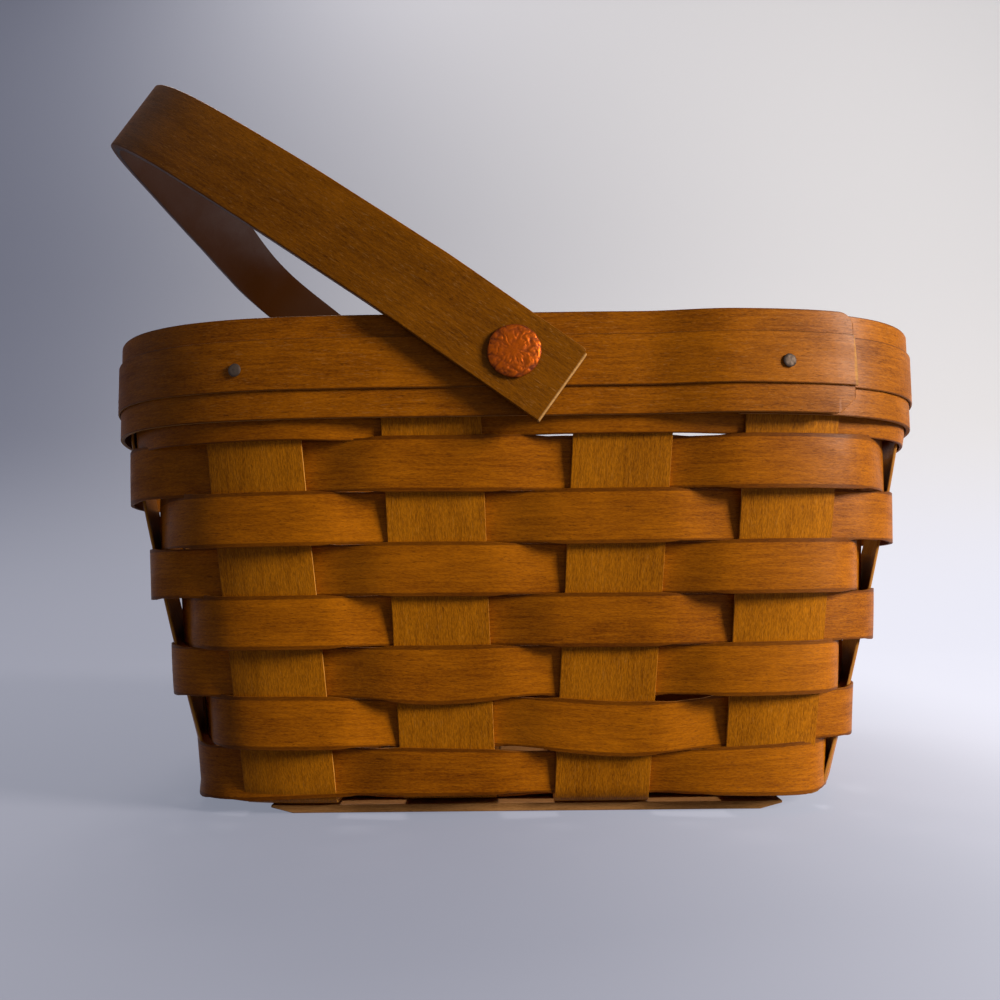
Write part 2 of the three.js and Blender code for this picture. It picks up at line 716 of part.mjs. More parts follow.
export default basket;
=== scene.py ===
"""Looks of a square splint basket with lapped rim bands and a riveted swing handle.

Every strip is planed flat, its edges are eased, and it is then bent round the same wall as the frame's.
Lengths are in metres, the front of the basket faces -Y, and the floor is at z = 0.
"""

import logging
import math
from dataclasses import dataclass, field
from enum import Enum
from typing import Callable, Iterable

import bmesh
import bpy
import numpy as np
from mathutils import Matrix, Vector, noise


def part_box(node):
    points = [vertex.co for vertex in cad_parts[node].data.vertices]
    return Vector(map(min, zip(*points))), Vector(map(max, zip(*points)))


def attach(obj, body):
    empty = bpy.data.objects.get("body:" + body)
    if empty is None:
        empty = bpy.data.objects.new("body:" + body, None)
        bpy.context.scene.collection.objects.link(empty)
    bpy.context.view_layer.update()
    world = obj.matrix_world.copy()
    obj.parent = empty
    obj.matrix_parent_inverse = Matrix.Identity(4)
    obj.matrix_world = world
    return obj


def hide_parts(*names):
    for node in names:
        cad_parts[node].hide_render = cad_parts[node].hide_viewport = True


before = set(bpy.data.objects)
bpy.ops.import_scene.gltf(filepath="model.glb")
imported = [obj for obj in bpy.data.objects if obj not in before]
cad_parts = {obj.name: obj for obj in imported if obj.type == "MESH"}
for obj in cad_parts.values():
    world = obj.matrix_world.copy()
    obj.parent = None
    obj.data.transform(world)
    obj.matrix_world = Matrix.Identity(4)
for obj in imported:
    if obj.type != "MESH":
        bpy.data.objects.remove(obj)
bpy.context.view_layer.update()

LOG = logging.getLogger("basket")
MM = 0.001
TURN = 2 * math.pi
JITTER_SHIFTS = (1.9, 15.7, 30.3)

Colour = tuple[float, float, float]
Rates = tuple[float, float, float]
Bend = Callable[[float, float, float], Vector]


class Slot(Enum):
    """The finishes that the record knows, one for each kind of stock."""

    STAKE = "stake_splint"
    WEAVER = "weaver_splint"
    RIM = "rim_splint"
    RUNNER = "runner_splint"
    HANDLE = "handle_wood"
    COPPER = "rivet_copper"
    IRON = "tack_iron"


class Body(Enum):
    """The two bodies of the basket that move against each other."""

    BASKET = "basket"
    HANDLE = "handle"


def linear(red: int, green: int, blue: int) -> Colour:
    """Turns a colour of 0 to 255 as it looks on a screen into the numbers that light adds up in.

    Args:
        red: Red as displayed.
        green: Green as displayed.
        blue: Blue as displayed.

    Returns:
        The linear colour.
    """
    shares = [value / 255 for value in (red, green, blue)]
    return tuple(s / 12.92 if s <= 0.04045 else ((s + 0.055) / 1.055) ** 2.4 for s in shares)


def ease(share: float) -> float:
    """Returns a share of 0 to 1 with a gentle start and end."""
    clear = min(max(share, 0.0), 1.0)
    return clear * clear * (3 - 2 * clear)


def blend(start: float, end: float, share: float) -> float:
    """Returns the value that lies the given share of the way from start to end."""
    return start + (end - start) * share


def wander(place: float, span: float, seed: float) -> float:
    """Gives a slow and repeatable unevenness, as of work done by hand.

    Args:
        place: Distance along the piece.
        span: Distance over which the unevenness changes.
        seed: A number that makes each piece differ.

    Returns:
        A value of about -1 to 1.
    """
    return noise.noise(Vector((place / span, seed * 7.31, seed * 1.73)))


def jitter(place: Vector) -> Vector:
    """Gives an unevenness in three directions out of plain noise.

    Blender's own noise_vector gives other values in another run, so it isn't used.

    Args:
        place: The place that it is asked for.

    Returns:
        A vector with parts of about -1 to 1.
    """
    return Vector([noise.noise(place + Vector((shift, -shift, 2 * shift))) for shift in JITTER_SHIFTS])


class Signal:
    """A number that varies over a surface, with sums on it written as sums."""

    def __init__(self, graph: "Graph", socket: bpy.types.NodeSocket) -> None:
        """Keeps a socket.

        Args:
            graph: The graph that it belongs to.
            socket: The socket.
        """
        self.graph = graph
        self.socket = socket

    def math(self, operation: str, *values: "Signal | float") -> "Signal":
        """Adds one Math node.

        Args:
            operation: The node's operation.
            values: Its inputs in order.

        Returns:
            The result.
        """
        sockets = dict(enumerate(values))
        return self.graph.add("ShaderNodeMath", {"operation": operation}, sockets)

    def __add__(self, other: "Signal | float") -> "Signal":
        """Returns self + other."""
        return self.math("ADD", self, other)

    def __radd__(self, other: float) -> "Signal":
        """Returns other + self."""
        return self.math("ADD", other, self)

    def __sub__(self, other: "Signal | float") -> "Signal":
        """Returns self - other."""
        return self.math("SUBTRACT", self, other)

    def __rsub__(self, other: float) -> "Signal":
        """Returns other - self."""
        return self.math("SUBTRACT", other, self)

    def __mul__(self, other: "Signal | float") -> "Signal":
        """Returns self * other."""
        return self.math("MULTIPLY", self, other)

    def __rmul__(self, other: float) -> "Signal":
        """Returns other * self."""
        return self.math("MULTIPLY", other, self)

    def between(self, low: float, high: float) -> "Signal":
        """Rises smoothly from 0 to 1 as the signal goes from low to high.

        Args:
            low: Where the result is 0.
            high: Where the result is 1, which may be the smaller one.

        Returns:
            The mask.
        """
        settings = {"interpolation_type": "SMOOTHSTEP"}
        sockets = {"Value": self, "From Min": low, "From Max": high}
        if low > high:
            sockets.update({"From Min": high, "From Max": low, "To Min": 1.0, "To Max": 0.0})
        return self.graph.add("ShaderNodeMapRange", settings, sockets)


class Graph:
    """The nodes of one material, or of the world."""

    MIX_FACTOR = 0
    MIX_COLOURS = (6, 7)
    MIX_RESULT = 2

    def __init__(self, name: str, of_world: bool = False) -> None:
        """Starts a material or a world that holds only its output.

        Args:
            name: Its name.
            of_world: Whether it is a world.
        """
        self.owner = (bpy.data.worlds if of_world else bpy.data.materials).new(name)
        self.owner.use_nodes = True
        self.tree = self.owner.node_tree
        self.tree.nodes.clear()
        kind = "ShaderNodeOutputWorld" if of_world else "ShaderNodeOutputMaterial"
        self.output = self.tree.nodes.new(kind)

    def add(self, kind: str, settings: dict, sockets: dict, output: int | str = 0) -> Signal:
        """Adds a node.

        Args:
            kind: The node's type.
            settings: What is set on the node first.
            sockets: Values or signals by the name or number of the input.
            output: The output that is wanted.

        Returns:
            The output as a signal.
        """
        node = self.tree.nodes.new(kind)
        for key, value in settings.items():
            setattr(node, key, value)
        for key, value in sockets.items():
            if isinstance(value, Signal):
                self.tree.links.new(value.socket, node.inputs[key])
            else:
                node.inputs[key].default_value = value
        return Signal(self, node.outputs[output])

    def coordinates(self, scale: Rates, uv: bool = True) -> Signal:
        """Gives the place on the surface, stretched.

        Args:
            scale: Factor along, across and through.
            uv: Whether to follow the strip rather than the object's own axes.

        Returns:
            The stretched coordinates.
        """
        place = self.add("ShaderNodeTexCoord", {}, {}, "UV" if uv else "Object")
        return self.add("ShaderNodeVectorMath", {"operation": "MULTIPLY"}, {0: place, 1: scale})

    def grain(self, per_mm: Rates, detail: float, roughness: float, twist: float) -> Signal:
        """Gives a cloudy pattern stretched along the strip.

        Args:
            per_mm: Changes per millimetre along, across and through.
            detail: How many finer layers the pattern has.
            roughness: How strong the finer layers are.
            twist: How much the pattern is pulled about.

        Returns:
            A value of about 0.2 to 0.8.
        """
        place = self.coordinates(tuple(rate / MM for rate in per_mm))
        sockets = {"Vector": place, "Scale": 1.0, "Detail": detail, "Roughness": roughness}
        return self.add("ShaderNodeTexNoise", {}, {**sockets, "Distortion": twist})

    def attribute(self, name: str) -> Signal:
        """Reads a number that is stored on the mesh."""
        return self.add("ShaderNodeAttribute", {"attribute_name": name}, {}, "Fac")

    def mix(self, mask: Signal | float, first: Signal | Colour, second: Signal | Colour) -> Signal:
        """Mixes two colours.

        Args:
            mask: Where the second colour shows.
            first: The colour at mask 0.
            second: The colour at mask 1.

        Returns:
            The mixed colour.
        """
        sockets = {self.MIX_FACTOR: mask}
        for key, colour in zip(self.MIX_COLOURS, (first, second)):
            sockets[key] = colour if isinstance(colour, Signal) else (*colour, 1.0)
        settings = {"data_type": "RGBA", "blend_type": "MIX", "clamp_factor": True}
        return self.add("ShaderNodeMix", settings, sockets, self.MIX_RESULT)

    def bump(self, height: Signal, distance: float, strength: float) -> Signal:
        """Turns a height into a slope of the surface.

        Args:
            height: The height of 0 to 1.
            distance: What a height of 1 stands for.
            strength: How much of it shows.

        Returns:
            The surface's normal.
        """
        sockets = {"Height": height, "Distance": distance, "Strength": strength}
        return self.add("ShaderNodeBump", {}, sockets, "Normal")

    def finish(self, sockets: dict) -> bpy.types.Material:
        """Adds the shader and joins it to the output.

        Args:
            sockets: Values or signals by the name of the shader's input.

        Returns:
            The material.
        """
        shader = self.add("ShaderNodeBsdfPrincipled", {}, sockets, "BSDF")
        self.tree.links.new(shader.socket, self.output.inputs["Surface"])
        return self.owner

    def seen(self) -> Signal:
        """Marks the rays that show the background: to the camera, off gloss and through glass.

        Returns:
            1 for such a ray, and 0 for others.
        """
        camera = self.add("ShaderNodeLightPath", {}, {}, "Is Camera Ray")
        glossy = self.add("ShaderNodeLightPath", {}, {}, "Is Glossy Ray")
        return camera + glossy + self.add("ShaderNodeLightPath", {}, {}, "Is Transmission Ray")


@dataclass(frozen=True)
class WoodFinish:
    """Stained and varnished hardwood whose grain follows the strip.

    Attributes:
        name: The material's name.
        deep: The darker tone of the stain.
        glow: The lighter tone of the stain.
        pore_and_shade: The colour of pores, of the darkening along edges, and of the painted shade on the
            inner face.
        bare_and_glint: The colour of a cut edge, and of the painted glints.
        dash: Changes per millimetre along and across, of the short dashes of the grain.
        contrast: How far the dashes stand out.
        cut_share: How far a cut edge shows unstained wood.
        edge_stain_and_shade: How much darker the surface is along an edge, partly a stain and partly painted
            shade of the gaps between strips.
        inside: How far the strip's inner face is darkened with painted shade.
        roughness: How matt the varnish is.
        gloss: How much clear varnish lies on top.
        relief: Height of the grain.
    """

    name: str
    deep: Colour
    glow: Colour
    pore_and_shade: Colour
    bare_and_glint: Colour
    dash: tuple[float, float] = (0.85, 3.3)
    contrast: float = 0.24
    cut_share: float = 0.3
    edge_stain_and_shade: float = 0.6
    inside: float = 0.5
    roughness: float = 0.5
    gloss: float = 0.07
    relief: float = 0.03 * MM

    TONE_RATE = (0.006, 0.03, 0.0)
    CLOUD_RATE = (0.06, 0.12, 0.0)
    RING_RATE = (0.011, 0.16, 0.0)
    RINGS = 34.0
    TONE_SHARE = 0.3
    CLOUD_SHARE = 0.24
    STREAK_SHARE = 0.32
    FIGURE_SHARE = 0.14
    PORE_SHARE = 0.42
    GLINT_SHARE = 0.12
    EDGE_STAIN_AND_SHADE_REACH = (0.45, 0.15)
    SPECULAR = 0.06
    COAT_ROUGHNESS = 0.3

    def material(self) -> bpy.types.Material:
        """Builds the material."""
        graph = Graph(self.name)
        along, across = self.dash
        tone = graph.grain(self.TONE_RATE, 2.0, 0.5, 0.4).between(0.34, 0.66)
        cloud = graph.grain(self.CLOUD_RATE, 3.0, 0.55, 0.6).between(0.3, 0.7)
        streak = graph.grain((along * 0.14, across * 0.4, 0.0), 3.0, 0.6, 0.3).between(0.32, 0.68)
        dash = graph.grain((along, across, 0.0), 2.0, 0.55, 0.5).between(0.36, 0.64)
        fleck = graph.grain((along * 0.5, across * 0.9, 0.0), 1.0, 0.5, 1.2)
        rings = graph.grain(self.RING_RATE, 1.0, 0.4, 1.2) * self.RINGS
        figure = rings.math("SINE", rings) * 0.5 + 0.5
        cut = graph.attribute("cut")
        rest = 1 - self.contrast
        shade = tone * (rest * self.TONE_SHARE) + cloud * (rest * self.CLOUD_SHARE)
        shade = shade + streak * (rest * self.STREAK_SHARE) + figure * (rest * self.FIGURE_SHARE)
        shade = shade + dash * self.contrast
        pores = fleck.between(0.6, 0.74)
        glints = fleck.between(0.38, 0.28)
        edge_stain_and_shade = graph.attribute("edge").between(*self.EDGE_STAIN_AND_SHADE_REACH)
        stain = graph.mix(shade, self.deep, self.glow)
        stain = graph.mix(pores * self.PORE_SHARE, stain, self.pore_and_shade)
        # Painted highlight: pale glints in the colour of a cut edge, scattered through the grain.
        stain = graph.mix(glints * self.GLINT_SHARE, stain, self.bare_and_glint)
        # Darker along each edge: partly a stain, partly painted shade of the gaps between strips.
        stain = graph.mix(edge_stain_and_shade * self.edge_stain_and_shade, stain, self.pore_and_shade)
        stain = graph.mix(cut * self.cut_share * (0.6 + 0.4 * streak), stain, self.bare_and_glint)
        # Painted shade: the inner face is darkened towards the colour of the pores.
        stain = graph.mix(graph.attribute("inner") * self.inside, stain, self.pore_and_shade)
        height = dash * 0.5 + streak * 0.4 - pores * 0.8
        return graph.finish(
            {
                "Base Color": stain,
                "Roughness": self.roughness + 0.1 * pores + 0.12 * cut - 0.08 * cloud,
                "Specular IOR Level": self.SPECULAR,
                "Coat Weight": self.gloss * (1 - cut) * (0.6 + 0.4 * cloud),
                "Coat Roughness": self.COAT_ROUGHNESS,
                "Normal": graph.bump(height, self.relief, 0.8),
            }
        )


@dataclass(frozen=True)
class MetalFinish:
    """Bare metal with patina in its hollows, and painted shade towards the rim of a rivet's head.

    Attributes:
        name: The material's name.
        bright: The colour of the rubbed metal.
        dull: The colour of the patina, also used for the painted shade.
        patch: Size of a patch of patina.
        roughness: How matt the rubbed metal is.
        relief: Height of the dents.
    """

    name: str
    bright: Colour
    dull: Colour
    patch: float
    roughness: float
    relief: float

    def material(self) -> bpy.types.Material:
        """Builds the material."""
        graph = Graph(self.name)
        rate = 1 / self.patch
        place = graph.coordinates((rate, rate, rate), uv=False)
        coarse = {"Vector": place, "Detail": 3.0, "Roughness": 0.6, "Scale": 1.0}
        patch = graph.add("ShaderNodeTexNoise", {}, coarse)
        speck = graph.add("ShaderNodeTexNoise", {}, {"Vector": place, "Detail": 2.0, "Scale": 5.0})
        # Patina in the hollows and in patches, with painted shade towards the rim of a rivet's head.
        patina_and_shade_mask = graph.attribute("patina_and_shade") * 0.75 + patch.between(0.5, 0.68) * 0.25
        height = patch * 0.7 + speck * 0.3
        return graph.finish(
            {
                "Base Color": graph.mix(patina_and_shade_mask, self.bright, self.dull),
                "Metallic": 1 - 0.35 * patina_and_shade_mask,
                "Roughness": self.roughness + 0.25 * patina_and_shade_mask + 0.1 * speck,
                "Normal": graph.bump(height, self.relief, 0.6),
            }
        )


FINISHES = {
    Slot.STAKE: WoodFinish(
        name="stake_splint",
        deep=linear(122, 65, 0),
        glow=linear(206, 125, 12),
        pore_and_shade=linear(76, 34, 0),
        bare_and_glint=linear(226, 166, 84),
        dash=(0.8, 3.2),
        contrast=0.38,
        cut_share=0.7,
        edge_stain_and_shade=0.1,
    ),
    Slot.WEAVER: WoodFinish(
        name="weaver_splint",
        deep=linear(108, 50, 0),
        glow=linear(196, 113, 6),
        pore_and_shade=linear(64, 26, 0),
        bare_and_glint=linear(214, 140, 40),
    ),
    Slot.RIM: WoodFinish(
        name="rim_splint",
        deep=linear(104, 50, 0),
        glow=linear(188, 108, 5),
        pore_and_shade=linear(62, 27, 0),
        bare_and_glint=linear(224, 168, 100),
        cut_share=0.6,
        edge_stain_and_shade=0.6,
    ),
    Slot.RUNNER: WoodFinish(
        name="runner_splint",
        deep=linear(136, 84, 34),
        glow=linear(206, 146, 84),
        pore_and_shade=linear(80, 44, 14),
        bare_and_glint=linear(210, 156, 98),
        edge_stain_and_shade=0.2,
        inside=0.0,
    ),
    Slot.HANDLE: WoodFinish(
        name="handle_wood",
        deep=linear(86, 44, 0),
        glow=linear(154, 90, 3),
        pore_and_shade=linear(50, 22, 0),
        bare_and_glint=linear(224, 172, 106),
        cut_share=0.75,
        edge_stain_and_shade=0.15,
        inside=1.0,
    ),
    Slot.COPPER: MetalFinish(
        name="rivet_copper",
        bright=linear(200, 92, 16),
        dull=linear(58, 14, 2),
        patch=3.2 * MM,
        roughness=0.34,
        relief=0.12 * MM,
    ),
    Slot.IRON: MetalFinish(
        name="tack_iron",
        bright=linear(112, 94, 80),
        dull=linear(50, 36, 28),
        patch=0.9 * MM,
        roughness=0.45,
        relief=0.05 * MM,
    ),
}


class Workshop:
    """Turns finished shapes into pieces of the basket."""

    SHADING_WEIGHT = 100

    def __init__(self) -> None:
        """Makes each finish once."""
        self.materials = {slot: finish.material() for slot, finish in FINISHES.items()}
        self.made = 0

    def place(
        self,
        shape: bmesh.types.BMesh,
        name: str,
        node: str,
        slot: Slot,
        body: Body,
    ) -> None:
        """Makes a piece of a shape, dresses it, and puts it on its body in place of a node.

        Args:
            shape: The finished shape, which is used up.
            name: The piece's name.
            node: The node of the frame that it stands for.
            slot: Its finish.
            body: The body that it moves with.
        """
        mesh = bpy.data.meshes.new(name)
        shape.to_mesh(mesh)
        shape.free()
        mesh.materials.append(self.materials[slot])
        mesh.shade_smooth()
        piece = bpy.data.objects.new(name, mesh)
        bpy.context.scene.collection.objects.link(piece)
        weighted = piece.modifiers.new("even_shading", "WEIGHTED_NORMAL")
        weighted.mode = "FACE_AREA"
        weighted.weight = self.SHADING_WEIGHT
        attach(piece, body.value)
        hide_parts(node)
        self.made += 1
        LOG.info("%s stands for %s: %d faces", name, node, len(mesh.polygons))


@dataclass
class Strip:
    """A strip of wood that is planed and trimmed flat, and then bent.

    Attributes:
        length: Length along the grain.
        width: Width across the grain.
        thickness: Thickness of the stock.
        seed: A number that makes each strip differ.
        step: Distance between cross cuts along the strip.
        across: Number of cells across the width.
        round_over: Radius of the edges.
        outline: Gives the lower and the upper edge at a distance along the strip.
        slant: How far the far end leans along the strip, for each metre across.
        fine_end: Length at each end that is cut finely, for a shaped end.
        uneven: How far the edges stray from a straight line.
        outer: 1 where the outer face is the upper one of the flat strip, and -1 where it is the lower.
        pale_end: Length at each end that has lost its varnish.
    """

    length: float
    width: float
    thickness: float
    seed: float
    step: float = 2.0 * MM
    across: int = 4
    round_over: float = 0.14 * MM
    outline: Callable[[float], tuple[float, float]] | None = None
    slant: float = 0.0
    fine_end: float = 0.0
    uneven: float = 0.1 * MM
    outer: float = 1.0
    pale_end: float = 0.0

    FINE_STEP = 0.3 * MM
    LOWER_SPAN = 22 * MM
    UPPER_SPAN = 17 * MM
    SHARP_ANGLE = 1.0
    FACE_MARGIN = 1.02
    GRAIN_SHIFT = (0.61, 0.137)

    def cuts(self) -> list[float]:
        """Spaces the cross cuts where the strip can bend.

        Returns:
            Their distances along the strip.
        """
        ends = [i * self.FINE_STEP for i in range(round(self.fine_end / self.FINE_STEP))]
        start = len(ends) * self.FINE_STEP
        span = self.length - 2 * start
        count = max(2, math.ceil(span / self.step))
        middle = [start + span * i / count for i in range(count + 1)]
        return [*ends, *middle, *(self.length - place for place in reversed(ends))]

    def flat(self) -> bmesh.types.BMesh:
        """Planes the strip and eases its edges.

        Returns:
            The flat strip, where X runs along it, Y across it and Z through it.
        """
        cuts = self.cuts()
        shape = bmesh.new()
        bmesh.ops.create_cube(shape, size=1.0)
        for axis, count in ((0, len(cuts) - 2), (1, self.across - 1)):
            lines = [e for e in shape.edges if abs((e.verts[1].co - e.verts[0].co)[axis]) > 0.5]
            bmesh.ops.subdivide_edges(shape, edges=lines, cuts=count, use_grid_fill=True)
        last = len(cuts) - 1
        for vert in shape.verts:
            along = cuts[round((vert.co.x + 0.5) * last)]
            low, high = self.outline(along) if self.outline else (-self.width / 2, self.width / 2)
            low += self.uneven * wander(along, self.LOWER_SPAN, self.seed)
            high += self.uneven * wander(along, self.UPPER_SPAN, self.seed + 0.5)
            side = blend(low, high, vert.co.y + 0.5)
            last_quarter = ease(along / self.length * 4 - 3)
            lean = self.slant * side * last_quarter
            vert.co = Vector((along + lean, side, vert.co.z * self.thickness))
        corners = [e for e in shape.edges if e.calc_face_angle(0.0) > self.SHARP_ANGLE]
        bmesh.ops.bevel(
            shape,
            geom=corners,
            offset=self.round_over,
            offset_type="OFFSET",
            affect="EDGES",
            segments=2,
            profile=0.5,
            material=-1,
            clamp_overlap=True,
        )
        return shape

    def bent(self, bend: Bend) -> bmesh.types.BMesh:
        """Marks the grain and the cut edges on the flat strip and bends it into place.

        Args:
            bend: Gives the place of a point from its distance along, across and through the strip.

        Returns:
            The bent strip.
        """
        shape = self.flat()
        grain = shape.loops.layers.uv.new("grain")
        cut = shape.verts.layers.float.new("cut")
        edge = shape.verts.layers.float.new("edge")
        inner = shape.verts.layers.float.new("inner")
        shift = Vector([share * self.seed for share in self.GRAIN_SHIFT])
        face = (self.thickness / 2 - self.round_over) * self.FACE_MARGIN
        for vert in shape.verts:
            along, side, depth = vert.co
            to_end = min(along, self.length - along)
            vert[cut] = 1.0 if abs(depth) < face or to_end < self.pale_end else 0.0
            vert[edge] = min(self.width / 2 - abs(side), to_end) / MM
            vert[inner] = 1.0 if depth * self.outer < 0 else 0.0
        for cell in shape.faces:
            for corner in cell.loops:
                along, side, depth = corner.vert.co
                corner[grain].uv = shift + Vector((along, side + depth))
        for vert in shape.verts:
            vert.co = bend(*vert.co)
        bmesh.ops.recalc_face_normals(shape, faces=shape.faces)
        return shape


@dataclass(frozen=True)
class WallPlan:
    """The plan of the basket's wall: a square with bowed sides and round corners.

    Attributes:
        rim_top: Height of the rim.
        band_bottom: Height under which the wall leans in.
        foot: Height at which the wall turns into the base.
        half_at_rim: Distance from the middle to the wall at the rim.
        lean: How far the wall leans in, for each metre down.
        rim_squareness: Power of the plan's curve at the rim.
        foot_squareness: Power of the plan's curve at the foot.
    """

    rim_top: float
    band_bottom: float
    foot: float = 5.9 * MM
    half_at_rim: float = 115.9 * MM
    lean: float = 0.252
    rim_squareness: float = 4.45
    foot_squareness: float = 7.4

    def below(self, height: float) -> float:
        """Returns how far a height lies under the rim band."""
        return max(self.band_bottom - max(height, self.foot), 0.0)

    def half(self, height: float) -> float:
        """Returns the distance from the middle to the wall at a height."""
        return self.half_at_rim - self.lean * self.below(height)

    def power(self, height: float) -> float:
        """Returns the power of the plan's curve at a height."""
        share = self.below(height) / (self.band_bottom - self.foot)
        return blend(self.rim_squareness, self.foot_squareness, share)

    def wall_at(self, along: float, height: float) -> float:
        """Gives the distance from the middle to the wall, beside the middle.

        Args:
            along: Distance beside the middle, along the wall.
            height: Height on the wall.

        Returns:
            The distance, square to the wall.
        """
        half, power = self.half(height), self.power(height)
        return half * (1 - (abs(along) / half) ** power) ** (1 / power)

    def normal(self, angle: float, height: float) -> Vector:
        """Gives the direction out of the wall.

        Args:
            angle: Angle round the basket.
            height: Height on the wall.

        Returns:
            The level direction.
        """
        power = self.power(height) - 1
        c, s = math.cos(angle), math.sin(angle)
        out = Vector((math.copysign(abs(c) ** power, c), math.copysign(abs(s) ** power, s), 0))
        return out.normalized()

    def point(self, angle: float, height: float, offset: float) -> Vector:
        """Gives a point on or beside the wall.

        Args:
            angle: Angle round the basket.
            height: Height on the wall.
            offset: Distance out of the wall.

        Returns:
            The point.
        """
        half, power = self.half(height), self.power(height)
        c, s = math.cos(angle), math.sin(angle)
        radius = half / (abs(c) ** power + abs(s) ** power) ** (1 / power)
        return Vector((radius * c, radius * s, height)) + self.normal(angle, height) * offset


class Hoop:
    """The way round the wall at one height, measured along the wall."""

    FINENESS = math.radians(0.3)

    def __init__(self, plan: WallPlan, height: float, start: float, end: float) -> None:
        """Measures the way from one angle to another.

        Args:
            plan: The wall.
            height: Height on the wall.
            start: The first angle.
            end: The last angle.
        """
        count = math.ceil((end - start) / self.FINENESS)
        self.angles = np.linspace(start, end, count + 1)
        points = np.array([plan.point(float(angle), height, 0.0) for angle in self.angles])
        steps = np.linalg.norm(np.diff(points, axis=0), axis=1)
        self.lengths = np.concatenate([[0.0], np.cumsum(steps)])
        self.length = float(self.lengths[-1])

    def angle(self, along: float) -> float:
        """Returns the angle round the basket at a distance along the way."""
        return float(np.interp(along, self.lengths, self.angles))


